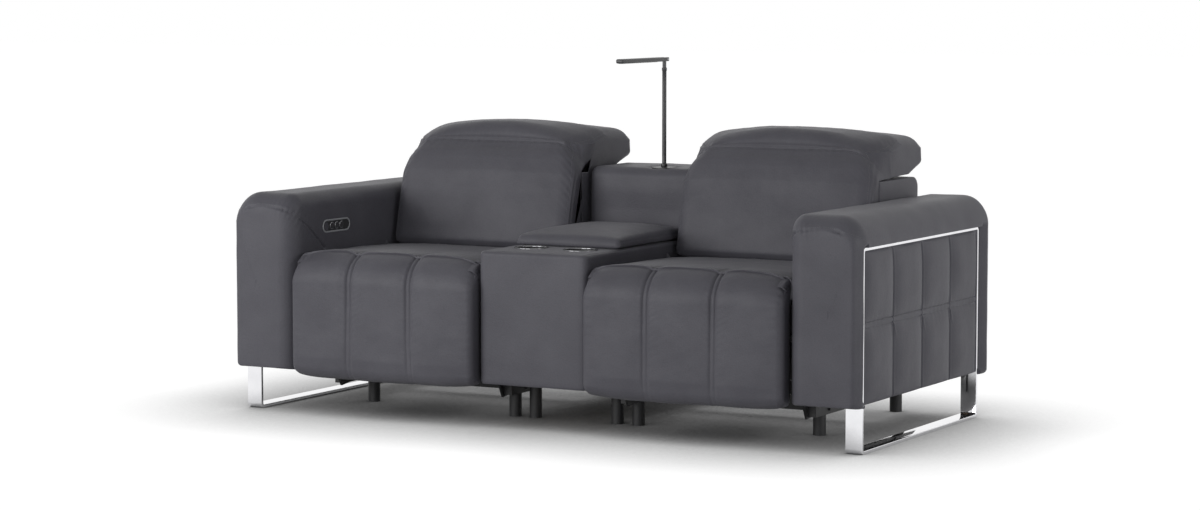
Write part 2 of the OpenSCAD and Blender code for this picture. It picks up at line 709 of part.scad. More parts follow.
// Torque tube with its two swing links and the fork of the drive
module swing_links() {
    tube_half = seat_rail_out - seat_rail_t - 2;
    a = [frame_pin_y, frame_pin_z];
    color(steel) {
        rod(-tube_half, tube_half, frame_pin_y, frame_pin_z, 12.5);
        rod(-link_u - link_t, link_u + link_t, frame_pin_y, frame_pin_z, spindle_r);
        both_ways() {
            link_bar(link_u, link_u + link_t, a, [low_pin_y, low_pin_z], link_w/2);
            rod(link_u, push_u + link_t, low_pin_y, low_pin_z, link_pin_d/2);
            translate([fork_u, frame_pin_y, frame_pin_z]) rotate([legrest_open/2, 0, 0]) difference() {
                block([0, -17, -nut_drop/cos(legrest_open/2) - 14], [fork_t, 17, 0]);
                block([-eps, -8.5, -nut_drop/cos(legrest_open/2) - 14 - eps],
                    [fork_t + eps, 8.5, -nut_drop + 10]);
            }
        }
    }
}
module push_links() {
    color(steel) both_ways() difference() {
        link_bar(push_u, push_u + link_t, [pad_pin_y, pad_pin_z], [low_pin_y, low_pin_z], link_w/2);
        rod(push_u - eps, push_u + link_t + eps, pad_pin_y, pad_pin_z, link_pin_d/2 + run_gap);
        rod(push_u - eps, push_u + link_t + eps, low_pin_y, low_pin_z, link_pin_d/2 + 0.6);
    }
}
// Legrest motor with its spindle, and recline motor with its tube
module seat_motors() {
    spindle_end = nut_y - nut_travel - 42;
    tube_y1 = -232;
    color(black) {
        translate([0, spindle_end, nut_z]) rotate([-90, 0, 0]) cylinder(h = -20 - spindle_end, r = spindle_r);
        block([-35, -25, nut_z - 30], [35, 60 - rest_gap, nut_z + 30]);
        translate([-35, 17, nut_z]) rotate([0, -90, 0]) cylinder(h = 60, r = 24);
        difference() {
            union() {
                block([motor_u - motor_half, -300, motor_z - motor_half],
                    [motor_u + motor_half, tube_y1, motor_z + motor_half]);
                translate([motor_u, tube_y1 - eps, motor_z]) rotate([-90, 0, 0])
                    cylinder(h = 252 + eps, r = 17);
            }
            translate([motor_u, tube_y1 - 30, motor_z]) rotate([-90, 0, 0])
                cylinder(h = 300, r = rod_r + run_gap);
        }
        translate([motor_u - motor_half, -266, motor_z]) rotate([0, -90, 0]) cylinder(h = 60, r = 24);
    }
}
module drive_nut() {
    color(steel) {
        difference() {
            block([-nut_half, nut_y - 22, nut_z - nut_half], [nut_half, nut_y + 22, nut_z + nut_half]);
            translate([0, nut_y - 30, nut_z]) rotate([-90, 0, 0]) cylinder(h = 60, r = spindle_r + run_gap);
        }
        both_ways() rod(nut_half, fork_u + fork_t + 3, nut_y, nut_z, 4);
    }
}

// Back cushion and headrest. They part along a line from the front seam through the headrest's
// axis and down to the shell.
back_outline = outline([
    [back_plane - 97, back_low, 14, 3, 0.65],
    [back_plane, back_low, 8, 1, 0.3],
    [back_plane, ledge_z, 0, 0, 0],
    [join_y, ledge_z, 0, 0, 0],
    [head_y, head_z, 0, 0, 0],
    [back_plane - 2, back_top - 56, 0, 0, 0.3],
    [back_plane - 27, back_top - 88, 40, 2, 0.8],
    [back_plane - 52, back_top - 150, 80, 2, 1],
    [back_plane - 66, back_top - 200, 0, 0, 1],
    [back_plane - 103, seat_h + 14, 40, 3, 0.65]]);
module back_cushion() {
    color(leather) difference() {
        slab(-half_seat + 1, half_seat - 1) polygon([for (p = back_outline) drawn_in(p, 0)]);
        rod(-half_seat, half_seat, head_y, head_z, notch_r);
    }
}
head_places = places(half_seat - 2, 18, 3, [-262, -235, -180, -90, 0, 90, 180, 235, 262]);
head_low = shell_top + 4;
head_rise = back_top - head_z;
head_outline = outline([
    [join_y + 7, head_low, 6, 1, 0.3],
    [head_rear - 120, head_low + 2, 0, 0, 0.6],
    [head_rear - 14, head_low + 24, 24, 3, 1],
    [head_rear, back_top - 60, 30, 3, 1],
    [head_rear - 36, back_top - 16, 36, 3, 1],
    [head_rear - 190, back_top, 0, 0, 1],
    [head_y + 1, back_top, 44, 4, 0.6],
    [head_y + 0.6, head_z + 0.6, 0, 0, 0]]);
// The rear of the headrest keeps fuller ends than its front
function head_point(p, u, inset) =
    let (q = drawn_in(p, inset*p[4]), y = q[0], z = q[1],
         drop = 90*(1 - sqrt(1 - pow(u/(half_seat + 1), 2))),
         share = 1.15 - 0.5*limit((y - 230)/200, 0, 1),
         near = limit((join_y + 7 - y)/(join_y + 7 - head_y), 0, 1))
    [u*(1 - top_taper*pow(near, 1.5)), y,
     z <= head_z ? z : z - min(share*drop, head_rise - 12)*(z - head_z)/head_rise];
module headrest_pad() {
    end = [half_seat - 2, join_y + 60, head_z - 30];
    color(leather) difference() {
        skin([for (s = head_places) [for (p = head_outline) head_point(p, s[0], s[1])]],
            [-end[0], end[1], end[2]], end);
        rod(-half_seat, half_seat, head_y, head_z, notch_r);
    }
}
ear_back_u = 150;
head_arm_u = 132;
head_plate_u = head_arm_u + 38;
module back_frame() {
    upright = hinge_plate_u - 8;
    rail_z = head_z - 80; // underside of the top rail
    color(steel) {
        both_ways() {
            difference() {
                link_bar(upright, upright + 6, [recline_y, recline_z], [back_plane + 19, back_low + 45], 13);
                rod(upright - eps, upright + 6 + eps, recline_y, recline_z, recline_pin_d/2 + run_gap);
            }
            block([upright - 14, back_plane + 4, back_low + 20], [upright + 6, back_plane + 34, rail_z]);
            difference() {
                union() {
                    rod(ear_back_u, ear_back_u + 6, head_y, head_z, 11);
                    block([ear_back_u, head_y - 9, head_z - 50], [ear_back_u + 6, head_y + 9, head_z - 3]);
                }
                rod(ear_back_u - eps, ear_back_u + 7, head_y, head_z, 8 + run_gap);
            }
        }
        for (z = [back_low + 20, (back_low + head_z)/2 - 40])
            block([-upright + 14, back_plane + 6, z], [upright - 14, back_plane + 26, z + 30]);
        block([-upright, back_plane + 6, rail_z], [upright, back_plane + 34, head_z - 42]);
    }
}
module headrest_motor() {
    color(black) {
        rod(-120, 120, head_y, head_z, tube_d/2);
        rod(-ear_back_u - 8, ear_back_u + 8, head_y, head_z, 8);
        both_ways() block([60, head_y - 10, head_z - 42 + rest_gap], [90, head_y + 10, head_z - 5]);
    }
}
module headrest_frame() {
    plate_z = head_z - 24;
    color(steel) {
        both_ways() difference() {
            link_bar(head_arm_u, head_arm_u + 6, [head_y, head_z], [head_y + 120, plate_z + 3], 11);
            rod(head_arm_u - eps, head_arm_u + 7, head_y, head_z, 8 + run_gap);
        }
        block([-head_plate_u, head_y + 108, plate_z], [head_plate_u, head_rear - 70, plate_z + 6]);
    }
}
module back_shell() {
    inner = half_seat - 2 - shell_t;
    color(leather) difference() {
        slab(-half_seat + 2, half_seat - 2) difference() {
            union() {
                polygon([[back_plane + 1, back_low], [330, shell_low], [shell_rear - 4, shell_low],
                    [shell_rear, shell_top - 32], [shell_rear - 32, shell_top - 32],
                    [shell_rear - 32, shell_top], [back_plane + 1, shell_top]]);
                translate([shell_rear - 32, shell_top - 32]) circle(32);
            }
        }
        slab(-inner, inner) polygon([[back_plane - 20, shell_low - 20],
            [shell_rear - 4 - shell_t, shell_low - 20], [shell_rear - shell_t, shell_top - 32 - shell_t],
            [shell_rear - 32 - shell_t, shell_top - shell_t], [back_plane - 20, shell_top - shell_t]]);
        // the frame stands up through the front of the ledge
        block([-inner, back_plane - 20, shell_top - shell_t - eps],
            [inner, back_plane + 36, shell_top + eps]);
    }
}

// Console
function console_ring(z, inset) = [for (p = ring([
    [-console_w/2 + inset, -console_front + inset, 18, 3, 1],
    [console_w/2 - inset, -console_front + inset, 18, 3, 1],
    [console_w/2 - inset, console_split - 2, 3, 1, 1],
    [-console_w/2 + inset, console_split - 2, 3, 1, 1]])) [p[0], p[1], z]];
module console_cover() {
    edge = 12;
    levels = concat([[arm_base, 4], [arm_base + 8, 0]],
        [for (i = [0:4]) let (t = 90*i/4) [deck_h - edge + edge*sin(t), edge*(1 - cos(t))]]);
    in_x = console_w/2 - console_wall;
    color(leather) difference() {
        skin([for (s = levels) console_ring(s[0], s[1])]);
        block([-in_x, -console_front + console_wall, arm_base - eps],
            [in_x, console_split - 12, deck_h - deck_t]);
        block([-bin_half - bin_t, -bin_front - bin_t, deck_h - deck_t - eps],
            [bin_half + bin_t, console_split - 12, deck_h + eps]);
        both_ways() translate([cup_pitch/2, -cup_front, deck_h - deck_t - eps])
            cylinder(h = deck_t + 2*eps, d = cup_d + 2*cup_t + 2*rest_gap);
    }
}
module ply_box(a, b, rear_top) {
    difference() {
        block(a, b);
        block(a + [board_t, board_t, board_t], b - [board_t, board_t, -eps]);
        block([a[0] + board_t, b[1] - board_t - eps, rear_top], b + [-board_t, eps, eps]);
    }
}
module console_frame() {
    in_x = console_w/2 - console_wall - rest_gap;
    back_x = in_x - 6;
    color(plywood) {
        ply_box([-in_x, -console_front + console_wall + rest_gap, arm_base],
            [in_x, console_split - 12 - rest_gap, deck_h - deck_t - rest_gap], deck_h - 48);
        ply_box([-back_x, console_split + 22, arm_base],
            [back_x, shell_rear - 22, console_back_h - 60], console_back_h - 60);
    }
}
module console_back() {
    g = rest_gap;
    in_x = console_w/2 - console_wall - g - 6;
    cross = places(console_w/2 - 0.5, 22, 3, [0]);
    side_view = outline([[console_split, arm_base, 6, 1, 0.2], [shell_rear, arm_base, 6, 1, 0.2],
        [shell_rear, console_back_h, 40, 4, 1], [console_split, console_back_h, 28, 4, 1]]);
    color(leather) difference() {
        skin([for (s = cross) [for (p = side_view) let (q = drawn_in(p, s[1]*p[4])) [s[0], q[0], q[1]]]]);
        block([-in_x - g, console_split + 22 - g, arm_base - eps],
            [in_x + g, shell_rear - 22 + g, console_back_h - 60 + g]);
        translate([lamp_x, lamp_y, socket_top - socket_t - g])
            cylinder(h = socket_t + g + eps, d = socket_d + 2*g);
    }
}
module console_bin() {
    color(black) difference() {
        union() {
            block([-bin_half, -bin_front, bin_low], [bin_half, bin_rear, deck_h + rest_gap]);
            block([-bin_half - 9, -bin_front - 9, deck_h + rest_gap],
                [bin_half + 9, bin_rear, lid_low - rest_gap]);
        }
        block([-bin_half + bin_t, -bin_front + bin_t, bin_low + bin_t],
            [bin_half - bin_t, bin_rear - bin_t, lid_low + eps]);
    }
}
// Lid: its crown rises smoothly from a rounded edge; two lugs carry the hinge
lid_mid_y = (lid_rear - lid_front)/2;
lid_outline = outline([[-lid_front, lid_low, 5, 1, 0.4], [lid_rear, lid_low, 5, 1, 0.4],
    [lid_rear, lid_low + lid_t, 14, 3, 1], [lid_rear - 90, lid_low + lid_t, 0, 0, 1],
    [lid_mid_y, lid_low + lid_t, 0, 0, 1], [-lid_front + 90, lid_low + lid_t, 0, 0, 1],
    [-lid_front, lid_low + lid_t, 18, 3, 1]]);
lid_places = places(lid_half, 16, 3, [-120, -60, 0, 60, 120]);
function lid_point(p, x, inset) =
    let (q = drawn_in(p, inset*p[4]), y = q[0], z = q[1],
         s = (y - lid_mid_y)/((lid_front + lid_rear)/2),
         rise = z > lid_low + 8 ? lid_crown*(1 - pow(x/lid_half, 4))*(1 - pow(s, 4)) : 0)
    [x, y, z + rise];
lug_x = 60;
lug_t = 8;
lug_gap = 1;
lid_ear = lug_x + lug_t + lug_gap; // inner face of the fixed hinge ears
module console_lid() {
    color(leather) difference() {
        union() {
            skin([for (s = lid_places) [for (p = lid_outline) lid_point(p, s[0], s[1])]]);
            both_ways() rod(lug_x, lug_x + lug_t, lid_pin_y, lid_pin_z, 7);
        }
        both_ways() {
            rod(lug_x - 6, lid_ear + lug_t + lug_gap, lid_pin_y, lid_pin_z, 4 + run_gap);
            rod(lid_ear - lug_gap, lid_ear + lug_t + lug_gap, lid_pin_y, lid_pin_z, 8.5);
        }
    }
}
module lid_hinge() {
    y1 = bin_rear + rest_gap;
    color(steel) {
        block([-lid_ear - lug_t, y1, deck_h - 90], [lid_ear + lug_t, y1 + 4, deck_h - 30]);
        both_ways() {
            link_bar(lid_ear, lid_ear + lug_t, [lid_pin_y, lid_pin_z], [y1 + 16, deck_h - 44], 7);
            block([lid_ear, y1, deck_h - 51], [lid_ear + lug_t, y1 + 18, deck_h - 37]);
            rod(lug_x - 3, lid_ear + lug_t, lid_pin_y, lid_pin_z, 4);
        }
    }
}
module cup_holder() {
    r = cup_d/2;
    z2 = deck_h + 7;
    rotate_extrude($fn = 64) {
        difference() {
            translate([0, z2 - cup_depth - cup_t]) square([r + cup_t, cup_depth + cup_t]);
            translate([0, z2 - cup_depth]) square([r, cup_depth + eps]);
        }
        translate([r, deck_h + rest_gap]) square([7, z2 - deck_h - rest_gap]);
        translate([r + 7, deck_h + rest_gap]) square([3, z2 - 3 - deck_h - rest_gap]);
        translate([r + 7, z2 - 3]) intersection() {
            circle(3);
            square(3);
        }
    }
}
module cup_holders() {
    color(chrome) both_ways() translate([cup_pitch/2, -cup_front, 0]) cup_holder();
}
module power_supply() {
    color(black) block([-90, 20, arm_base + board_t + rest_gap], [90, 110, arm_base + board_t + 62]);
}

// Reading lamp
module lamp_socket() {
    color(black) difference() {
        translate([lamp_x, lamp_y, socket_top - socket_t]) cylinder(h = socket_t, d = socket_d, $fn = 64);
        translate([lamp_x, lamp_y, socket_top - 13]) cylinder(h = 14, r = pole_d/2 + run_gap);
    }
}
yoke_l = 30; // reach of the yoke's cheeks from the tilt pin
module lamp_pole() {
    color(black) {
        translate([lamp_x, lamp_y, socket_top - 13 + rest_gap])
            cylinder(h = lamp_z - yoke_l + 4 - socket_top + 13 - rest_gap, r = pole_d/2);
        block([lamp_x - 4, lamp_y - 5, lamp_z - yoke_l], [lamp_x + 4, lamp_y + 5, lamp_z]);
        rod(lamp_x - 4, lamp_x + 4, lamp_y, lamp_z, lamp_r);
        rod(lamp_x - 12, lamp_x + 12, lamp_y, lamp_z, 3);
    }
}
module lamp_head() {
    cheek = 8 - rest_gap;
    color(black) difference() {
        union() {
            for (x = [-12, 4 + rest_gap]) {
                rod(lamp_x + x, lamp_x + x + cheek, lamp_y, lamp_z, lamp_r - 0.5);
                block([lamp_x + x, lamp_y - yoke_l, lamp_z - 6], [lamp_x + x + cheek, lamp_y, lamp_z + 6]);
            }
            block([lamp_x - 12.5, lamp_y - lamp_l, lamp_z - 6.5], [lamp_x + 12.5, lamp_y - 20, lamp_z + 6.5]);
        }
        rod(lamp_x - 20, lamp_x + 20, lamp_y, lamp_z, 3 + run_gap);
    }
}

arm_frames();
at_left() arm_cover();  // arm_cover_left
arm_cover();  // arm_cover_right
at_left() side_panel();  // side_panel_left
side_panel();  // side_panel_right
at_left() chrome_loop();  // chrome_loop_left
chrome_loop();  // chrome_loop_right
control_panels();
usb_ports();
at_left() button(0);  // open_button_left
at_left() button(1);  // close_button_left
at_left() button(2);  // head_button_left
button(0);  // open_button_right
button(1);  // close_button_right
button(2);  // head_button_right
base_frames();
feet();
recline_rods();
rear_panels();
left_seat() seat_cushion();  // seat_cushion_left
right_seat() seat_cushion();  // seat_cushion_right
left_seat() seat_frame();  // seat_frame_left
right_seat() seat_frame();  // seat_frame_right
left_seat() seat_springs();  // seat_springs_left
right_seat() seat_springs();  // seat_springs_right
left_seat() legrest_pad();  // legrest_pad_left
right_seat() legrest_pad();  // legrest_pad_right
left_seat() legrest_frame();  // legrest_frame_left
right_seat() legrest_frame();  // legrest_frame_right
left_seat() swing_links();  // swing_links_left
right_seat() swing_links();  // swing_links_right
left_seat() push_links();  // push_links_left
right_seat() push_links();  // push_links_right
left_seat() seat_motors();  // seat_motors_left
right_seat() seat_motors();  // seat_motors_right
left_seat() drive_nut();  // drive_nut_left
right_seat() drive_nut();  // drive_nut_right
left_seat() back_cushion();  // back_cushion_left
right_seat() back_cushion();  // back_cushion_right
left_seat() back_frame();  // back_frame_left
right_seat() back_frame();  // back_frame_right
left_seat() back_shell();  // back_shell_left
right_seat() back_shell();  // back_shell_right
left_seat() headrest_pad();  // headrest_pad_left
right_seat() headrest_pad();  // headrest_pad_right
left_seat() headrest_frame();  // headrest_frame_left
right_seat() headrest_frame();  // headrest_frame_right
left_seat() headrest_motor();  // headrest_motor_left
right_seat() headrest_motor();  // headrest_motor_right
console_frame();
console_cover();
console_bin();
console_lid();
lid_hinge();
cup_holders();
console_back();
power_supply();
lamp_socket();
lamp_pole();
lamp_head();
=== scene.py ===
import math

import bpy
import numpy as np
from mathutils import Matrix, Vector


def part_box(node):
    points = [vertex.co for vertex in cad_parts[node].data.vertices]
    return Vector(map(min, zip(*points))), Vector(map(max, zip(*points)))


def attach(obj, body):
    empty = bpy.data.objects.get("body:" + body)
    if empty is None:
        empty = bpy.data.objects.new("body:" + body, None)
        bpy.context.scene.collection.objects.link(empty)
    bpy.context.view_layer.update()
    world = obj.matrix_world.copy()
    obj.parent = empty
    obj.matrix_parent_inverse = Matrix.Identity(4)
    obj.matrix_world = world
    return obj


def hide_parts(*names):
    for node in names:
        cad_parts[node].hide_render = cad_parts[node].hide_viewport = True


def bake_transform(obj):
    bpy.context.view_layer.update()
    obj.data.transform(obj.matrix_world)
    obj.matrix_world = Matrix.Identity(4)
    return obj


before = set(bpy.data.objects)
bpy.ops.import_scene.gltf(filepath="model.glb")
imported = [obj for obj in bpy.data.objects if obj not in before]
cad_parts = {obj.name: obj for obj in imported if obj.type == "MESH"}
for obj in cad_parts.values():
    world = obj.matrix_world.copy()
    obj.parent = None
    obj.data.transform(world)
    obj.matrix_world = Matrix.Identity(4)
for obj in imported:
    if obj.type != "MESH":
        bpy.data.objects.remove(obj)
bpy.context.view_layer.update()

print("frame loaded")

# Lengths are in millimetres until a mesh is made, and then in metres. X runs across the sofa, -Y is the
# front and Z is up. A seat's own place across is u, measured from the seat's middle.

layout = {"seatX": 491.0, "halfSeat": 311.0, "hingeY": -467.119, "hingeZ": 446.619}
hands = ((-1, "left"), (1, "right"))


def unitOf(v):
    # a vector divided by its length
    return v / np.linalg.norm(v)


def unitRows(v):
    # each row's vector divided by its length
    return v / np.linalg.norm(v, axis=-1, keepdims=True)


def limit(v, low=0.0, high=1.0):
    # v held between low and high
    return np.minimum(np.maximum(v, low), high)


def ramp(v, zero, one):
    # 0 up to one place and 1 from the other on, straight between; either place may be the higher
    return limit((v - zero) / (one - zero))


def ease(v, zero, one):
    # the same with soft ends: the smooth step 3t^2 - 2t^3 of the ramp t
    t = ramp(v, zero, one)
    return t * t * (3 - 2 * t)


def hill(v, at, width):
    # bell curve exp(-((v - at)/width)^2)
    return np.exp(-((v - at) / width) ** 2)


def bulge(v, middle, half, power=4):
    # fullness 1 - ((v - middle)/half)^power, not below 0
    return (1 - ((v - middle) / half) ** power).clip(0)


def softNoise(p, size, seed, octaves=3):
    # sum of sine waves in random directions, each octave 1.9 times finer and half as high, about -1 to 1
    waves, finer, evenOut = 7, 1.9, 3.2 * 1.6
    rng = np.random.default_rng(seed)
    total, gain = np.zeros(p.shape[:-1]), 1.0
    for octave in range(octaves):
        ways = rng.normal(size=(waves, 3))
        ways *= (2 * math.pi / size * finer ** octave / np.linalg.norm(ways, axis=1))[:, None]
        phases = rng.uniform(0, 2 * math.pi, waves)
        total += gain * np.sin(p @ ways.T + phases).sum(-1)
        gain *= 0.5
    return total / evenOut


def puckers(along, away, pitch, reach, seed):
    # gathers beside a seam: an uneven wave along it that dies off as exp(-away/reach)
    wobble = 1.7 * np.sin(along / (2.3 * pitch) + seed) + 1.1 * np.sin(along / (5.1 * pitch) + 2 * seed)
    slow = np.sin(along / (4.2 * pitch) + 3 * seed) * np.sin(along / (9.7 * pitch) + seed)
    return np.exp(-np.abs(away) / reach) * (0.55 + 0.45 * slow) * np.sin(2 * math.pi * along / pitch + wobble)


def spread(low, high, step, marks=(), fine=1.8, reach=12.0):
    # places from low to high, a step apart and closer together near the marks
    x = np.linspace(low, high, 4000)
    near = np.zeros_like(x)
    for mark in marks:
        near = np.maximum(near, hill(x, mark, reach))
    want = 1 / step + (1 / fine - 1 / step) * near
    run = np.concatenate([[0], np.cumsum((want[1:] + want[:-1]) / 2 * np.diff(x))])
    return np.interp(np.linspace(0, run[-1], math.ceil(run[-1]) + 1), run, x)


def quarterRound(radius, steps):
    # a quarter round: distances from its start, r(1 - cos t), and how far it is drawn in there, r(1 - sin t)
    t = np.linspace(0, math.pi / 2, steps + 1)
    return radius * (1 - np.cos(t)), radius * (1 - np.sin(t))


def roundedEnds(low, high, radius, steps=5):
    # places from low to high with a quarter round at both ends, and their insets
    place, inset = quarterRound(radius, steps)
    return np.concatenate([low + place, (high - place)[::-1]]), np.concatenate([inset, inset[::-1]])


def placesAcross(half, radius, step, endSteps=10, marks=(), fine=1.8, wall=(), reach=12.0):
    # places across a piece with their insets: a quarter-round end, the middle, the other end. wall lists
    # further insets at the end itself, for a side wall.
    place, endInset = quarterRound(radius, endSteps)
    endU = half - place
    middle = spread(-half + radius, half - radius, step, marks, fine, reach)[1:-1]
    wall = radius + np.array(sorted(wall, reverse=True), float)
    u = np.concatenate([np.full(len(wall), -half), -endU, middle, endU[::-1], np.full(len(wall), half)])
    inset = np.concatenate([wall, endInset, np.zeros(len(middle)), endInset[::-1], wall[::-1]])
    return u, inset


def lengthsAlong(points):
    # distance along a line of points, up to each of them
    return np.concatenate([[0], np.cumsum(np.linalg.norm(np.diff(points, axis=0), axis=1))])


def sampled(run, values, where):
    # vectors given along a run, by straight lines between them
    return np.stack([np.interp(where, run, values[:, k]) for k in range(3)], 1)


def nearestOf(points, candidates):
    # for each point, the number of the nearest candidate
    return np.argmin(((points[:, None] - candidates[None]) ** 2).sum(-1), 1)


def cornerKeys(corners, arcStep=3.0):
    # keys of an anticlockwise outline from corners (a, b, radius, share of the end rounding): each key is
    # place, inward step, signed radius, direction on its arc, share. Radius 0 is a sharp corner.
    rows, count = [], len(corners)
    for k in range(count):
        before, here, after = (np.array(corners[(k + d) % count][:2], float) for d in (-1, 0, 1))
        radius, share = corners[k][2], corners[k][3]
        one, two = unitOf(here - before), unitOf(after - here)
        one, two = np.array([one[1], -one[0]]), np.array([two[1], -two[0]])
        into = (one + two) / (1 + one @ two)
        bend = math.atan2(one[0] * two[1] - one[1] * two[0], one @ two)
        if radius == 0:
            rows.append([*here, *into, 0, *unitOf(one + two), share])
            continue
        start = math.atan2(one[1], one[0])
        steps = max(3, math.ceil(abs(bend) * radius / arcStep))
        for i in range(steps + 1):
            t = start + bend * i / steps
            rows.append([*here, *into, math.copysign(radius, bend), math.cos(t), math.sin(t), share])
    return np.array(rows)


def rectangleKeys(low, high, radius, arcStep, lastRadius=None):
    # keys of a rounded rectangle between two corners, whose upper two roundings may differ
    last = radius if lastRadius is None else lastRadius
    return cornerKeys([(low[0], low[1], radius, 1), (high[0], low[1], radius, 1), (high[0], high[1], last, 1),
                       (low[0], high[1], last, 1)], arcStep)


def drawIn(keys, inset):
    # the outline's keys drawn in by each inset times the key's share, as rings x keys x 2; an arc's radius
    # shrinks with it and stays above half a millimetre
    place, into, onArc = keys[None, :, 0:2], keys[None, :, 2:4], keys[None, :, 5:7]
    d = np.asarray(inset, float)[:, None] * keys[None, :, 7]
    radius = np.where(keys[:, 4] > 0, np.maximum(keys[:, 4] - d, 0.5), keys[:, 4] - d)
    rounded = place - (d + radius)[..., None] * into + radius[..., None] * onArc
    return np.where((keys[:, 4] == 0)[None, :, None], place - d[..., None] * into, rounded)


def outerLine(keys):
    # the outline itself, with nothing drawn in
    return drawIn(keys, np.zeros(1))[0]


def spotsOn(lines, step, marks=(), fine=1.8, reach=12.0):
    # spots round closed lines of equal key count, as (key, share of the way to the next key). Every key
    # stays a spot, long stretches are filled a step apart, and closer near the marks (a, b).
    keys, shares, count = [], [], len(lines[0])
    lengths = np.max([np.linalg.norm(np.roll(line, -1, 0) - line, axis=1) for line in lines], axis=0)
    for k in range(count):
        a, b = lines[0][k], lines[0][(k + 1) % count]
        near = []
        for mark in marks:
            t = limit((np.array(mark) - a) @ (b - a) / max((b - a) @ (b - a), 1e-9))
            if np.linalg.norm(a + t * (b - a) - mark) < reach:
                near.append(t * lengths[k])
        if lengths[k] < 1e-6:
            continue
        t = spread(0, lengths[k], step, near, fine, reach)[:-1] / lengths[k]
        keys.append(np.full(len(t), k))
        shares.append(t)
    return np.concatenate(keys), np.concatenate(shares)


def onSpots(rings, spots):
    # rings x keys x n to rings x spots x n, by straight lines between neighbouring keys
    k, t = spots
    following = (k + 1) % rings.shape[1]
    return rings[:, k] * (1 - t)[None, :, None] + rings[:, following] * t[None, :, None]


def sideGrid(u, flat):
    # points (u, y, z) from places across and the side view (y, z) at each of them
    return np.concatenate([np.repeat(u[:, None, None], flat.shape[1], 1), flat], 2)


def sideRings(corners, u, inset, step, arcStep=5.0):
    # rings of a piece from its side view's corners, drawn in by the inset at each place across
    keys = cornerKeys(corners, arcStep)
    return sideGrid(u, onSpots(drawIn(keys, inset), spotsOn([outerLine(keys)], step)))


def gridNormals(points, closed):
    # unit normals of a grid of points from the cross product of its two steps, turned away from its middle
    along = np.gradient(points, axis=0)
    around = (np.roll(points, -1, 1) - np.roll(points, 1, 1)) / 2 if closed else np.gradient(points, axis=1)
    normal = np.cross(along, around)
    size = np.linalg.norm(normal, axis=2, keepdims=True)
    normal = np.where(size > 1e-9, normal / np.maximum(size, 1e-9), 0)
    return -normal if (normal * (points - points.mean((0, 1)))).sum() < 0 else normal


def gridFaces(rows, columns, closed, closedRows=False):
    # four-sided faces of a grid, whose columns, and its rows too, may close on themselves
    rowCount, columnCount = rows if closedRows else rows - 1, columns if closed else columns - 1
    i, j = np.meshgrid(np.arange(rowCount), np.arange(columnCount), indexing="ij")
    i, j = i.ravel(), j.ravel()
    here, below, following = i * columns, (i + 1) % rows * columns, (j + 1) % columns
    return np.stack([here + j, below + j, below + following, here + following], 1)


def volumeOf(points, faces):
    # sum of the signed volumes under the faces, each cut in triangles from its first corner
    total = 0.0
    for k in range(1, faces.shape[1] - 1):
        total += (points[faces[:, 0]] * np.cross(points[faces[:, k]], points[faces[:, k + 1]])).sum()
    return total / 6


def makePiece(name, points, faceSets, material, sharp=None):
    # a mesh object from points in millimetres and face arrays; a solid that is inside out is turned
    turned = sum(volumeOf(points, f) for f in faceSets) < 0
    faces = [list(f) for group in faceSets for f in (group[:, ::-1] if turned else group).tolist()]
    mesh = bpy.data.meshes.new(name)
    mesh.from_pydata((points * 0.001).tolist(), [], faces)
    mesh.validate()
    mesh.shade_smooth()
    if sharp:
        mesh.set_sharp_from_angle(angle=math.radians(sharp))
    mesh.materials.append(material)
    piece = bpy.data.objects.new(name, mesh)
    bpy.context.scene.collection.objects.link(piece)
    return piece


def capped(rings, low=None, high=None, steps=9, swell=0.0):
    # closes both ends of a stack of closed rings: each end ring shrinks towards its middle point, and the
    # end swells outwards as 1 - t^2. Returns the longer stack and the two middle points.
    parts, tips = [], []
    for end, middle in ((0, low), (-1, high)):
        ring = rings[end]
        middle = ring.mean(0) if middle is None else np.array(middle, float)
        away = unitOf(rings[end].mean(0) - rings[1 if end == 0 else -2].mean(0) + 1e-9)
        t = np.linspace(1, 0, steps + 1)[1:]
        cap = middle + (ring - middle) * t[:, None, None] + away * (swell * (1 - t ** 2))[:, None, None]
        parts.append(cap[:-1][::-1] if end == 0 else cap[:-1])
        tips.append(middle + away * swell)
    return np.concatenate([parts[0], rings, parts[1]]), tips[0], tips[1]


def solidFromRings(name, stack, material, sharp=None):
    # a closed solid from a capped stack: the grid's faces and a fan at each tip
    rings, first, last = stack
    rows, columns = rings.shape[:2]
    points = np.concatenate([rings.reshape(-1, 3), [first], [last]])
    j = np.arange(columns)
    following, tip, lastRow = (j + 1) % columns, rows * columns, (rows - 1) * columns
    low = np.stack([0 * j + tip, j, following], 1)
    high = np.stack([0 * j + tip + 1, lastRow + following, lastRow + j], 1)
    return makePiece(name, points, [gridFaces(rows, columns, True), low, high], material, sharp)


def flatEnded(name, rings, material, sharp=None):
    # a closed solid from a stack of closed rings, whose two end rings are filled by one face each
    rows, columns = rings.shape[:2]
    j = np.arange(columns)
    faceSets = [gridFaces(rows, columns, True), j[None], ((rows - 1) * columns + j)[None, ::-1]]
    return makePiece(name, rings.reshape(-1, 3), faceSets, material, sharp)


def tubeFromGrid(name, grid, material, sharp=None):
    # a closed tube that returns to its start: a grid that closes on itself both ways
    faces = gridFaces(*grid.shape[:2], True, True)
    return makePiece(name, grid.reshape(-1, 3), [faces], material, sharp)


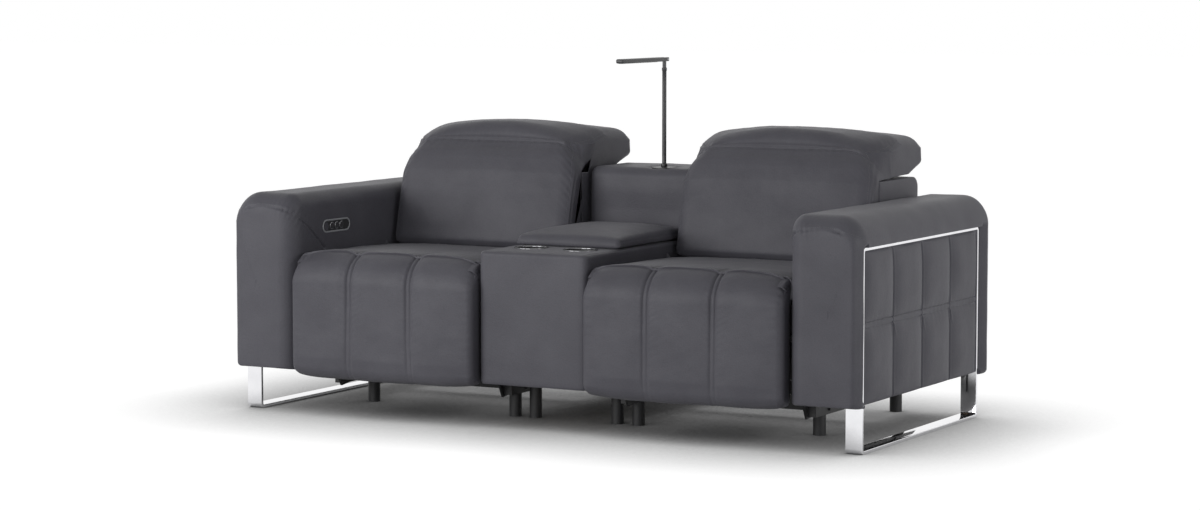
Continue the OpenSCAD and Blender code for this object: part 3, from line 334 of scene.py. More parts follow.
def walled(name, front, back, faces, material, sharp=None):
    # a closed wall from a sheet's points and their copies behind it, with strips along its open edges
    count = len(front)
    edges = np.concatenate([faces[:, [k, (k + 1) % 4]] for k in range(4)])
    code = np.sort(edges, 1) @ np.array([count, 1])
    firsts, uses = np.unique(code, return_index=True, return_counts=True)[1:]
    rim = edges[firsts[uses == 1]]
    strip = np.stack([rim[:, 1], rim[:, 0], rim[:, 0] + count, rim[:, 1] + count], 1)
    every = np.concatenate([faces, faces[:, ::-1] + count, strip])
    return makePiece(name, np.concatenate([front, back]), [every], material, sharp)


def sheetPiece(name, grid, thickness, material, lift):
    # a padded cover from an open grid: displaced along its normals, then given its thickness
    grid = grid + gridNormals(grid, False) * lift[..., None]
    front, normals = grid.reshape(-1, 3), gridNormals(grid, False).reshape(-1, 3)
    faces = gridFaces(*grid.shape[:2], False)
    return walled(name, front, front - normals * thickness, faces, material)


def revolved(name, profile, centre, axis, material, slotName=None, around=72, sharp=None):
    # a solid of revolution: profile points (radius, height) turned about an axis through the centre
    profile = np.array(profile, float)
    t = np.linspace(0, 2 * math.pi, around, endpoint=False)
    side = np.stack([np.cos(t), np.sin(t)], 1)
    flat = profile[:, 0, None, None] * side[None]
    height = np.repeat(profile[:, 1, None], around, 1)[..., None]
    order = {"x": (2, 0, 1), "y": (1, 2, 0), "z": (0, 1, 2)}[axis]
    rings = np.concatenate([flat, height], 2)[..., order] + np.array(centre, float)
    tips = [np.array([0, 0, profile[e, 1]])[list(order)] + np.array(centre, float) for e in (0, -1)]
    return solidFromRings(name, (rings, tips[0], tips[1]), material, sharp)


def barPiece(name, low, high, radius, material, slotName=None):
    # a block with rounded edges: a rounded rectangle carried across with rounded ends
    keys = rectangleKeys(low[1:], high[1:], radius, radius / 3)
    x, inset = roundedEnds(low[0], high[0], radius)
    return solidFromRings(name, capped(sideGrid(x, drawIn(keys, inset)), steps=2), material)


# Materials

def newMaterial(name):
    material = bpy.data.materials.new(name)
    material.use_nodes = True
    nodes, links = material.node_tree.nodes, material.node_tree.links
    return material, nodes, links, nodes["Principled BSDF"]


def objectNoise(nodes, links, scale, detail=3.0, roughness=0.55, stretch=None):
    # noise on Object coordinates, with an optional stretch along the axes
    place = nodes.new("ShaderNodeTexCoord")
    noise = nodes.new("ShaderNodeTexNoise")
    noise.inputs["Scale"].default_value = scale
    noise.inputs["Detail"].default_value = detail
    noise.inputs["Roughness"].default_value = roughness
    source = place.outputs["Object"]
    if stretch:
        mapping = nodes.new("ShaderNodeMapping")
        mapping.inputs["Scale"].default_value = stretch
        links.new(source, mapping.inputs["Vector"])
        source = mapping.outputs["Vector"]
    links.new(source, noise.inputs["Vector"])
    return noise


def twoTone(nodes, links, factor, dark, light, low=0.35, high=0.65):
    # colours between dark and light by a factor
    ramp = nodes.new("ShaderNodeValToRGB")
    for element, place, colour in zip(ramp.color_ramp.elements, (low, high), (dark, light)):
        element.position, element.color = place, (*colour, 1)
    links.new(factor, ramp.inputs["Fac"])
    return ramp.outputs["Color"]


def ranged(nodes, links, factor, low, high):
    # a number mapped from 0..1 to low..high
    node = nodes.new("ShaderNodeMapRange")
    node.inputs["To Min"].default_value, node.inputs["To Max"].default_value = low, high
    links.new(factor, node.inputs["Value"])
    return node.outputs["Result"]


def multiplied(nodes, links, colour, shade):
    # a colour darkened by a shade
    node = nodes.new("ShaderNodeMix")
    node.data_type, node.blend_type = "RGBA", "MULTIPLY"
    node.inputs["Factor"].default_value = 1.0
    links.new(colour, node.inputs["A"])
    links.new(shade, node.inputs["B"])
    return node.outputs["Result"]


def mathNode(nodes, links, operation, first, second, clamp=False):
    # one sum on two sockets, the second of which may be a plain number
    node = nodes.new("ShaderNodeMath")
    node.operation, node.use_clamp = operation, clamp
    links.new(first, node.inputs[0])
    if isinstance(second, float):
        node.inputs[1].default_value = second
    else:
        links.new(second, node.inputs[1])
    return node.outputs[0]


def bumped(nodes, links, shader, height, strength, distance, under=None):
    # small relief from a height, on top of an earlier one
    bump = nodes.new("ShaderNodeBump")
    bump.inputs["Strength"].default_value = strength
    bump.inputs["Distance"].default_value = distance
    links.new(height, bump.inputs["Height"])
    if under:
        links.new(under.outputs["Normal"], bump.inputs["Normal"])
    links.new(bump.outputs["Normal"], shader.inputs["Normal"])
    return bump


leatherLook = {"dark": (0.098, 0.096, 0.113), "light": (0.123, 0.121, 0.140), "drift": 7.0, "grain": 420.0,
               "creases": 150.0, "warp": 90.0, "warpBy": 0.004, "pores": (1.05, 0.84), "relief": 0.5,
               "roughness": (0.44, 0.56), "creaseHeight": 0.0011, "grainHeight": 0.00045, "sheen": 0.05,
               "sheenRoughness": 0.45, "specular": 0.24}


def leatherMaterial():
    # pebbled leather: slow colour drift, darker pores between rounded cells, fine creases
    look = leatherLook
    material, nodes, links, shader = newMaterial("slateLeather")
    drift = objectNoise(nodes, links, look["drift"], 4.0)
    colour = twoTone(nodes, links, drift.outputs["Fac"], look["dark"], look["light"], 0.3, 0.7)
    cells = nodes.new("ShaderNodeTexVoronoi")
    cells.feature = "SMOOTH_F1"
    cells.inputs["Scale"].default_value = look["grain"]
    cells.inputs["Smoothness"].default_value = 0.6
    warp = objectNoise(nodes, links, look["warp"], 2.0)
    place = nodes.new("ShaderNodeTexCoord")
    bend = nodes.new("ShaderNodeVectorMath")
    bend.operation = "MULTIPLY_ADD"
    bend.inputs[1].default_value = (look["warpBy"],) * 3
    links.new(warp.outputs["Color"], bend.inputs[0])
    links.new(place.outputs["Object"], bend.inputs[2])
    links.new(bend.outputs[0], cells.inputs["Vector"])
    pores = ranged(nodes, links, cells.outputs["Distance"], *look["pores"])
    links.new(multiplied(nodes, links, colour, pores), shader.inputs["Base Color"])
    creases = objectNoise(nodes, links, look["creases"], 5.0, 0.6).outputs["Fac"]
    links.new(ranged(nodes, links, creases, *look["roughness"]), shader.inputs["Roughness"])
    first = bumped(nodes, links, shader, creases, look["relief"], look["creaseHeight"])
    turned = ranged(nodes, links, cells.outputs["Distance"], 1.0, 0.0)
    bumped(nodes, links, shader, turned, look["relief"], look["grainHeight"], first)
    shader.inputs["Sheen Weight"].default_value = look["sheen"]
    shader.inputs["Sheen Roughness"].default_value = look["sheenRoughness"]
    shader.inputs["Specular IOR Level"].default_value = look["specular"]
    return material


def threadMaterial():
    # twisted sewing thread, a little lighter than the leather
    material, nodes, links, shader = newMaterial("sewingThread")
    twist = objectNoise(nodes, links, 900.0, 2.0).outputs["Fac"]
    colour = twoTone(nodes, links, twist, (0.10, 0.10, 0.115), (0.20, 0.20, 0.22))
    links.new(colour, shader.inputs["Base Color"])
    shader.inputs["Roughness"].default_value = 0.6
    bumped(nodes, links, shader, twist, 0.3, 0.0003)
    return material


def plainMaterial(name, dark, light, roughness, scale, bump, metallic=0.0, stretch=None):
    # metal, paint or plastic with faint streaks in its colour, roughness and surface
    material, nodes, links, shader = newMaterial(name)
    streaks = objectNoise(nodes, links, scale, 4.0, 0.6, stretch).outputs["Fac"]
    links.new(twoTone(nodes, links, streaks, dark, light), shader.inputs["Base Color"])
    links.new(ranged(nodes, links, streaks, *roughness), shader.inputs["Roughness"])
    shader.inputs["Metallic"].default_value = metallic
    bumped(nodes, links, shader, streaks, bump, 0.0003)
    return material


def plywoodMaterial():
    # pale veneers with darker glue lines across the board's thickness and fine long fibres
    material, nodes, links, shader = newMaterial("birchPlywood")
    fibres = objectNoise(nodes, links, 30.0, 6.0, 0.65, (1.0, 6.0, 1.0)).outputs["Fac"]
    layers = nodes.new("ShaderNodeTexWave")
    layers.bands_direction = "Z"
    layers.inputs["Scale"].default_value = 120.0
    layers.inputs["Distortion"].default_value = 1.5
    place = nodes.new("ShaderNodeTexCoord")
    links.new(place.outputs["Object"], layers.inputs["Vector"])
    wood = twoTone(nodes, links, fibres, (0.42, 0.27, 0.14), (0.62, 0.45, 0.27))
    glue = ranged(nodes, links, layers.outputs["Fac"], 0.8, 1.0)
    links.new(multiplied(nodes, links, wood, glue), shader.inputs["Base Color"])
    shader.inputs["Roughness"].default_value = 0.7
    bumped(nodes, links, shader, fibres, 0.2, 0.0005)
    return material


# each look: dark and light colour, range of roughness, scale of the streaks, relief, metallic, stretch
plainLooks = {
    "mirrorChrome": ((0.80, 0.80, 0.82), (0.86, 0.86, 0.88), (0.04, 0.09), 14.0, 0.01, 1.0),
    # painted reflection: the cup rims' chrome is darkened to stand in for the dark surroundings it would
    # mirror
    "chromeDarkenedForReflection": ((0.10, 0.10, 0.105), (0.17, 0.17, 0.175), (0.10, 0.2), 60.0, 0.02, 1.0),
    "satinBlackSteel": ((0.012, 0.012, 0.013), (0.022, 0.022, 0.024), (0.38, 0.55), 260.0, 0.25),
    "zincSteel": ((0.42, 0.43, 0.45), (0.60, 0.61, 0.63), (0.28, 0.45), 40.0, 0.08, 1.0, (1.0, 8.0, 8.0)),
    "springSteel": ((0.22, 0.22, 0.23), (0.34, 0.34, 0.35), (0.3, 0.5), 90.0, 0.06, 1.0),
    "mouldedBlack": ((0.014, 0.014, 0.015), (0.024, 0.024, 0.026), (0.45, 0.6), 700.0, 0.3),
    "satinDark": ((0.045, 0.045, 0.048), (0.07, 0.07, 0.074), (0.25, 0.38), 500.0, 0.1),
    "satinGrey": ((0.36, 0.37, 0.39), (0.44, 0.45, 0.47), (0.3, 0.42), 500.0, 0.12),
    "lampPaint": ((0.030, 0.030, 0.032), (0.046, 0.046, 0.049), (0.32, 0.45), 420.0, 0.15),
    "brightRing": ((0.50, 0.50, 0.52), (0.62, 0.62, 0.64), (0.2, 0.3), 60.0, 0.02, 0.6),
    "lampDiffuser": ((0.55, 0.55, 0.53), (0.66, 0.66, 0.64), (0.4, 0.5), 200.0, 0.05)}
looks = {name: plainMaterial(name, *look) for name, look in plainLooks.items()}
looks["birchPlywood"] = plywoodMaterial()
leather, thread = leatherMaterial(), threadMaterial()
looks["slateLeather"] = leather
print("materials made")

cadLooks = {
    "birchPlywood": ["arm_frames", "console_frame"], "satinBlackSteel": ["base_frames"],
    "mouldedBlack": ["feet", "control_panels", "usb_ports", "console_bin", "power_supply"],
    "slateLeather": ["rear_panels"], "mirrorChrome": ["recline_rods"], "zincSteel": ["lid_hinge"],
    "lampPaint": ["lamp_socket"]}
seatLooks = {
    "satinBlackSteel": ["seat_frame", "legrest_frame", "back_frame", "headrest_frame"],
    "springSteel": ["seat_springs"], "zincSteel": ["swing_links", "push_links"], "satinGrey": ["drive_nut"],
    "mouldedBlack": ["seat_motors", "headrest_motor"],
    "satinDark": ["open_button", "close_button", "head_button"]}
for look, nodeNames in seatLooks.items():
    cadLooks[look] = cadLooks.get(look, []) + [f"{node}_{word}" for node in nodeNames for side, word in hands]
for look, nodeNames in cadLooks.items():
    for nodeName in nodeNames:
        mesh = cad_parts[nodeName].data
        mesh.materials.clear()
        mesh.materials.append(looks[look])


# Sewing stitches

stitch = {"pitch": 6.4, "length": 4.6, "radius": 0.62, "sides": 5, "waist": 0.62, "proud": 0.35}


def stitchShape():
    # one stitch along x, a thin rod between two tips: its points, faces of three and faces of four
    n, half, r = stitch["sides"], stitch["length"] / 2, stitch["radius"]
    t = np.linspace(0, 2 * math.pi, n, endpoint=False)
    ring = np.stack([0 * t, r * np.cos(t), r * np.sin(t)], 1)
    waist = np.array([half * stitch["waist"], 0, 0])
    points = np.concatenate([[[-half, 0, 0]], ring - waist, ring + waist, [[half, 0, 0]]])
    k = np.arange(n)
    m = (k + 1) % n
    tips = [np.stack([0 * k, 1 + m, 1 + k], 1), np.stack([0 * k + 2 * n + 1, n + 1 + k, n + 1 + m], 1)]
    return points, np.stack(tips, 1).reshape(-1, 3), np.stack([1 + k, 1 + m, n + 1 + m, n + 1 + k], 1)


def stitchPiece(name, lines):
    # a stitch at every pitch along each line (points, normals), a little proud of it
    places, ways, ups = [], [], []
    for points, normals in lines:
        run = lengthsAlong(points)
        at = np.arange(stitch["pitch"], run[-1] - stitch["pitch"], stitch["pitch"])
        low, high = (sampled(run, points, at + end * stitch["length"] / 2) for end in (-1, 1))
        places.append((low + high) / 2)
        ways.append(unitRows(high - low))
        ups.append(unitRows(sampled(run, normals, at)))
    place, way, up = (np.concatenate(v) for v in (places, ways, ups))
    side = unitRows(np.cross(way, up))
    up = np.cross(side, way)
    shape, tips, sides = stitchShape()
    points = (place + up * stitch["proud"])[:, None, :] + shape @ np.stack([way, side, up], 1)
    offset = (np.arange(len(place)) * len(shape))[:, None, None]
    faceSets = [(offset + f).reshape(-1, f.shape[1]) for f in (tips, sides)]
    return makePiece(name, points.reshape(-1, 3), faceSets, thread)


# Arms

arm = {"inner": 806.0, "outer": 1024.0, "low": 128.0, "high": 652.0, "front": -482.0, "rear": 476.0,
       "noseRadius": 58.0, "rearRadius": 30.0, "innerRadius": 42.0, "outerRadius": 78.0, "endSteps": 21,
       "recessX": 959.7, "recessFront": -425.3, "recessRear": 421.3, "recessTop": 567.3, "step": 4.2}
armPadding = {"top": 2.5, "inner": 1.2, "front": 2.0, "uneven": 0.9, "seamDepth": 4.2, "seamWidth": 3.0,
              "gathers": 1.3, "roll": 13.0, "rollFront": -450.0, "rollRear": 448.0, "rollFrom": 990.0,
              "stitchBeside": 5.0}
armSeam = [(1020, -424, 570), (1008, -448, 584), (981, -472, 601), (950, -480, 614), (919, -481, 620),
           (880, -481, 616), (844, -476, 608), (818, -462, 596), (806, -441, 578), (806, -388, 546),
           (806, -308, 482)]


def armCorners(inset, recessed):
    # corners (x, z, radius) of the arm's section, where the outer and lower sides draw in less than the
    # top and the inner side; where it is recessed it leaves room for the side panel
    x1, x2 = arm["inner"] + 0.95 * inset, arm["outer"] - 0.45 * inset
    z1, z2 = arm["low"] + 0.15 * inset, arm["high"] - inset
    outerRadius, innerRadius = arm["outerRadius"] - 0.5 * inset, arm["innerRadius"] - 0.5 * inset
    if recessed:
        side = [(arm["recessX"], z1, 6), (arm["recessX"], arm["recessTop"], 0), (x2, arm["recessTop"], 0)]
    else:
        side = [(x2, z1, 12), (x2, arm["recessTop"] - 5, 0), (x2, arm["recessTop"] + 4, 0)]
    return [(x1, z1, 8), *side, (x2, z2, outerRadius), (x1, z2, innerRadius)]


def armKeys(inset, recessed):
    # the section's keys as points, with few on the lower corners' arcs and more on the upper ones'; both
    # kinds of section have the same count
    rows, corners = [], armCorners(inset, recessed)
    count = len(corners)
    for k in range(count):
        before, here, after = (np.array(corners[(k + d) % count][:2], float) for d in (-1, 0, 1))
        radius = corners[k][2]
        if radius == 0:
            rows.append(here[None])
            continue
        one, two = unitOf(here - before), unitOf(after - here)
        turn = math.acos(limit(one @ two, -1, 1))
        start = here - one * radius * math.tan(turn / 2)
        normal = np.array([-one[1], one[0]])
        t = np.linspace(0, turn, 5 if k in (0, 1) else 21)
        rows.append(start + radius * (np.sin(t)[:, None] * one + (1 - np.cos(t))[:, None] * normal))
    return np.concatenate(rows)


def distanceToLine(points, line):
    # distance of each point to a line of straight stretches, and how far along it the nearest place lies
    best, along, run = np.full(points.shape[:-1], 1e9), np.zeros(points.shape[:-1]), 0.0
    for a, b in zip(line[:-1], line[1:]):
        way = b - a
        t = limit(((points - a) @ way) / (way @ way))
        gap = np.linalg.norm(points - a - t[..., None] * way, axis=-1)
        along = np.where(gap < best, run + t * np.linalg.norm(way), along)
        best = np.minimum(best, gap)
        run += np.linalg.norm(way)
    return best, along


def smoothLine(points, count=60):
    # a smooth line through points: each coordinate interpolated with a cubic (Catmull-Rom) between them
    p = np.array(points, float)
    p = np.concatenate([[2 * p[0] - p[1]], p, [2 * p[-1] - p[-2]]])
    t = np.linspace(0, len(points) - 1, count)
    k = np.minimum(t.astype(int), len(points) - 2)
    f = (t - k)[:, None]
    a, b, c, d = p[k], p[k + 1], p[k + 2], p[k + 3]
    square, cube = 2 * a - 5 * b + 4 * c - d, 3 * b - a - 3 * c + d
    return 0.5 * (2 * b + (c - a) * f + square * f ** 2 + cube * f ** 3)


def seamGroove(distance, depth, width):
    # a sewn seam: a narrow valley with a low roll on each side
    return -depth * hill(distance, 0, width) + 0.35 * depth * hill(distance, 2.6 * width, 1.3 * width)


def facing(part, above=0.5):
    # 1 where a normal's part is well above a value, 0 below it
    return limit((part - above) / 0.4)


def armRings():
    # sections from the rounded nose, over the recess for the side panel, to the rear
    noseY, noseInset = quarterRound(arm["noseRadius"], arm["endSteps"])
    rearY, rearInset = (v[::2] for v in quarterRound(arm["rearRadius"], arm["endSteps"]))
    frontY = arm["front"] + noseY
    keep = frontY < arm["recessFront"] - 0.5
    rows = [(y, inset, False) for y, inset in zip(frontY[keep], noseInset[keep])]
    rows.append((arm["recessFront"] - 0.2, 0.02, False))
    middle = spread(arm["recessFront"], arm["recessRear"], 11.0, (-440, -400, -360, -320), 3.4, 40.0)
    rows += [(y, 0.0, True) for y in middle] + [(arm["recessRear"] + 0.2, 0.0, False)]
    rows += [(y, inset, False) for y, inset in zip((arm["rear"] - rearY)[::-1], rearInset[::-1])]
    spots = spotsOn([armKeys(0, False), armKeys(0, True)], arm["step"])
    rings = np.zeros((len(rows), len(spots[0]), 3))
    rings[..., [0, 2]] = onSpots(np.stack([armKeys(inset, recessed) for y, inset, recessed in rows]), spots)
    rings[..., 1] = np.array([y for y, inset, recessed in rows])[:, None]
    return capped(rings, steps=26, swell=3.0)


def armLift(rings, normals, line, side):
    # the padding's swell on the top, the inner face and the front, with the front seam and its gathers
    look, (x, y, z) = armPadding, np.moveaxis(rings, -1, 0)
    lift = look["top"] * facing(normals[..., 2]) * bulge(x, 905, 112)
    lift += look["inner"] * facing(-normals[..., 0]) * bulge(z, 400, 290) * (y < 430)
    lift += look["front"] * facing(-normals[..., 1])
    inRecess = (x > arm["recessX"] - 8) & (z < arm["recessTop"] + 2)
    inRecess &= (y > arm["recessFront"] - 1) & (y < arm["recessRear"] + 1)
    lift += look["uneven"] * softNoise(rings, size=230, seed=11 + side) * (1 - inRecess)
    away, along = distanceToLine(rings, line)
    lift += seamGroove(away, look["seamDepth"], look["seamWidth"])
    full = 0.35 + 0.65 * ease(along, 120, 200) * (1 - ease(along, 330, 420))
    lift += look["gathers"] * puckers(along, away, pitch=17.0, reach=20.0, seed=1.3) * full
    return np.where(inRecess, 0, lift)


def armRoll(rings):
    # how far the outer face rolls in to the chrome at the recess's front and rear edges
    x, y, z = np.moveaxis(rings, -1, 0)
    near = ease(y, armPadding["rollFront"], arm["recessFront"] - 1) * (y < arm["recessFront"] + 0.6)
    near += ease(y, armPadding["rollRear"], arm["recessRear"] + 1) * (y > arm["recessRear"] - 0.6)
    ends = ramp(z, arm["recessTop"] + 12, arm["recessTop"] - 2) * ramp(z, arm["low"], arm["low"] + 20)
    return armPadding["roll"] * near * (x > armPadding["rollFrom"]) * ends


def makeArm(side, word):
    rings, first, last = armRings()
    normals, line = gridNormals(rings, True), smoothLine(armSeam)
    rings = rings + normals * armLift(rings, normals, line, side)[..., None]
    rings[..., 0] -= armRoll(rings)
    # stitches lie beside the seam, on the nearest points of the leather
    points, ways = rings.reshape(-1, 3), normals.reshape(-1, 3)
    aside = np.cross(unitRows(np.gradient(line, axis=0)), ways[nearestOf(line, points[::3]) * 3])
    beside = line + aside * armPadding["stitchBeside"]
    nearest = nearestOf(beside, points)
    height = ((points[nearest] - beside) * ways[nearest]).sum(1, keepdims=True)
    mirror = [side, 1, 1]
    line = ((beside + ways[nearest] * height) * mirror, ways[nearest] * mirror)
    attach(stitchPiece(f"armStitches.{word}", [line]), "base")
    stack = [v * mirror for v in (rings, first, last)]
    piece = solidFromRings(f"armLeather.{word}", stack, leather, 50)
    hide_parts(f"arm_cover_{word}")
    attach(piece, "base")


for side, word in hands:
    makeArm(side, word)
print("arms made")


# Chrome loops and tufted panels

loop = {"inner": 960.0, "outer": 1010.0, "front": -425.0, "rear": 421.0, "top": 567.0, "thick": 10.0,
        "bend": 15.0, "edge": 1.4}


def makeLoop(side, word):
    # a flat bar with broken edges carried round a rounded rectangle; the bar's section is drawn in from
    # the outer line by 0 to its thickness
    keys = rectangleKeys((loop["front"], 0), (loop["rear"], loop["top"]), loop["bend"], 1.2)
    bar = rectangleKeys((0, loop["inner"]), (loop["thick"], loop["outer"]), loop["edge"], 0.448)
    section = outerLine(bar)
    lines = drawIn(keys, section[:, 0])
    grid = sideGrid(side * section[:, 1], onSpots(lines, spotsOn([lines[0]], 30.0)))
    piece = tubeFromGrid(f"chromeLoop.{word}", grid, looks["mirrorChrome"], 35)
    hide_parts(f"chrome_loop_{word}")
    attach(piece, "base")


panel = {"front": -415.3, "rear": 411.3, "low": 134.0, "high": 556.8, "back": 962.0, "face": 1004.0,
         "columns": 4, "crossing": 0.515, "swell": 14.0, "step": 5.5}
tuft = {"groove": 3.0, "grooveWidth": 2.2, "lip": 0.9, "stripHalf": 7.5, "strip": 2.2, "stripSeam": 2.4,
        "tuck": 2.6, "upperTuck": 0.9, "uneven": 0.8, "gathersDown": 0.55, "gathersAcross": 0.45}


def tuckFolds(y, z, seam, middleZ):
    # folds at a crossing: two that fan out below it with a valley between, and two shorter ones above
    beside, below, above = y - seam, middleZ - 8 - z, z - middleZ - 8
    out = 4 + 0.24 * np.maximum(below, 0)
    fan = hill(beside, out, 3.0) + hill(beside, -out, 3.0) - 0.9 * hill(beside, 0, 3.2)
    upper = hill(beside, 7, 3.4) + hill(beside, -7, 3.4)
    return (tuft["tuck"] * ease(below, -4, 6) * (1 - ease(below, 22, 52)) * fan
            + tuft["upperTuck"] * ease(above, -4, 5) * (1 - ease(above, 12, 40)) * upper)


def makeTuftedPanel(side, word):
    # quilted panel: pillows between stitch lines, a double stitched strip across, tucks at each crossing
    width, height = panel["rear"] - panel["front"], panel["high"] - panel["low"]
    column = width / panel["columns"]
    seamsY = [panel["front"] + column * k for k in range(1, panel["columns"])]
    middleZ = panel["low"] + height * panel["crossing"]
    ys = spread(panel["front"], panel["rear"], panel["step"], seamsY, 1.8, 14.0)
    zs = spread(panel["low"], panel["high"], panel["step"], (middleZ - 5, middleZ + 5), 1.7, 14.0)
    z, y = np.meshgrid(zs, ys, indexing="ij")
    toFront, toRear = y - panel["front"], panel["rear"] - y
    toLow, toHigh = z - panel["low"], panel["high"] - z
    # stitch lines lean and curve a little towards their ends
    bowed = y + 9 * ramp(z, 470, 560) ** 2 - 7 * ramp(z, 200, 130) ** 2 * (toRear > 20)
    share = (bowed - panel["front"]) / column
    nearSeam = np.abs(share - np.round(share)) * column
    sewn = (np.round(share) > 0.5) & (np.round(share) < panel["columns"] - 0.5)
    across = z - middleZ
    toEdge = np.minimum(np.abs(across), np.minimum(toLow, toHigh) + 4)
    pillowY = 1 - (1 - limit(nearSeam / (column / 2))) ** 3.2
    pillowZ = 1 - (1 - limit(toEdge / (height / 4))) ** 3.0
    depth = panel["swell"] * pillowY ** 0.8 * pillowZ ** 0.75
    groove = tuft["groove"] * hill(nearSeam, 0, tuft["grooveWidth"])
    depth += (tuft["lip"] * hill(nearSeam, 6, 3) - groove) * sewn
    strip = hill(across, 0, 9) ** 2
    stripSeams = hill(across, -tuft["stripHalf"], 1.9) + hill(across, tuft["stripHalf"], 1.9)
    depth = depth * (1 - 0.55 * strip) + tuft["strip"] * strip - tuft["stripSeam"] * stripSeams
    for seam in seamsY:
        depth += tuckFolds(y, z, seam, middleZ)
    points = np.stack([0 * y, y, z], 2)
    depth += tuft["uneven"] * softNoise(points, size=120, seed=31) * pillowY * pillowZ
    depth += tuft["gathersDown"] * puckers(z, nearSeam, pitch=21.0, reach=16.0, seed=0.7) * pillowZ * sewn
    gathers = puckers(y, np.abs(across) - 8, pitch=26.0, reach=14.0, seed=2.1)
    depth += tuft["gathersAcross"] * gathers * pillowY
    edge = np.minimum(np.minimum(toFront, toRear), np.minimum(toLow, toHigh))
    points[..., 0] = panel["face"] - 4 * (1 - limit(edge / 8)) ** 2 + depth
    front = points.reshape(-1, 3) * [side, 1, 1]
    back = front * [0, 1, 1] + [side * panel["back"], 0, 0]
    faces = gridFaces(*y.shape, False)
    piece = walled(f"tuftedPanel.{word}", front, back, faces, leather, 55)
    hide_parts(f"side_panel_{word}")
    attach(piece, "base")


for side, word in hands:
    makeLoop(side, word)
    makeTuftedPanel(side, word)
print("side panels made")


# Seats and legrests

seat = {"half": layout["halfSeat"], "edge": 19.0, "third": layout["halfSeat"] / 3, "cover": 11.0,
        "noseY": -415.5, "noseRadius": 85.0, "front": -500.5, "low": 114.0, "blendStep": 16.9704}
seatPadding = {"crown": 9.0, "lane": 4.0, "channel": 5.58, "channelWidth": 21.0, "channelGap": 9.0,
               "seam": 3.0, "ridge": 2.0, "lip": 1.1, "gathers": 1.15, "sideGathers": 1.3, "uneven": 1.5,
               "creases": 0.35, "cornerDrop": 17.0}


def swell(u, channels):
    # crown across the seat less its two channels, as in the solid parts
    def channel(at):
        return np.where(np.abs(u - at) >= 15, 0, np.cos(math.pi * (u - at) / 30) ** 2)
    both = channel(seat["third"]) + channel(-seat["third"])
    return 8 * (1 - (u / seat["half"]) ** 4) - channels * 8 * both


# side views of the seat's and the legrest's cores, as corners (y, z, radius, share of the end rounding)
seatCorners = [(-406.5, 326, 6, .5), (92, 326, 20, .5), (92, 466, 40, 1), (-100, 473, 0, 1),
               (-450.708, 480, 85, 1), (-476.31, 454.397, 0, 1), (-467.119, 447.219, 0, 0),
               (-420.5, 392.6, 0, 0)]
legrestCorners = [(-500.5, 114, 36, 1), (-432.5, 114, 18, .5), (-432.5, 401.4, 0, .3),
                  (-467.119, 445.42, 0, .3), (-496.2, 413.6, 0, 1), (-500.5, 385, 0, 1), (-500.5, 265, 0, 1)]


def sidesIn(u, y):
    # the sides pull in between the corners, most at the middle of the seat's depth
    return np.sign(u) * 5 * (np.abs(u) / seat["half"]) ** 8 * np.maximum(0, 1 - ((y + 190) / 250) ** 2)


def lowCorners(u, z):
    # the legrest's lower corners lift towards the sides
    return np.where(z < 174, 10 * (np.abs(u) / seat["half"]) ** 6 * (174 - z) / 60, 0)


def seatFit(p):
    # the crown lifts the top and pushes the nose forward
    u, y, z = np.moveaxis(p, -1, 0)
    s = swell(u, ramp(y, -330, -410))
    above = ramp(z, 375, 435) * ramp(y, 60, -40)
    return np.stack([u - sidesIn(u, y), y - s * ramp(y, -380, -470), z + s * above], -1)


def legrestFit(p):
    # the crown pushes the legrest's front forward and fades towards its upper edge
    u, y, z = np.moveaxis(p, -1, 0)
    s = swell(u, ramp(z, 124, 184))
    ahead = ramp(y, -452.5, -492.5) * ramp(z, 94, 184) * np.where(z > 402.6, ramp(z, 442.6, 398.6), 1)
    return np.stack([u, y - s * ahead, z + lowCorners(u, z)], -1)


def seatCoverGrid():
    # the cover's outer line from the seat's rear edge over the nose to the legrest's lower edge; arcs at
    # the nose and the lower edge, straight between
    front, low, inside = seat["front"], seat["low"], -446
    outline = [(88, 440, 0, 1), (88, 466.2, 26, 1), (-100, 473, 0, 1), (seat["noseY"] - 35.2, 480, 0, 1),
               (front, 480, seat["noseRadius"], 1), (front, low, 36, 1), (inside, low, 0, .12),
               (inside, 300, 0, .12)]
    keys = cornerKeys(outline, 3.2)
    line = outerLine(keys)
    k, t = spotsOn([line], 4.6)
    use = k < np.argmin(np.linalg.norm(line - [inside, low], axis=1))
    marks = [hand * seat["third"] + d * seatPadding["channelGap"] for hand in (-1, 1) for d in (-1, 1)]
    u, inset = placesAcross(seat["half"], seat["edge"], 5.0, 14, marks, 1.9, (4, 9, 16, 25, 36), 11.0)
    return sideGrid(u, onSpots(drawIn(keys, inset), (k[use], t[use])))


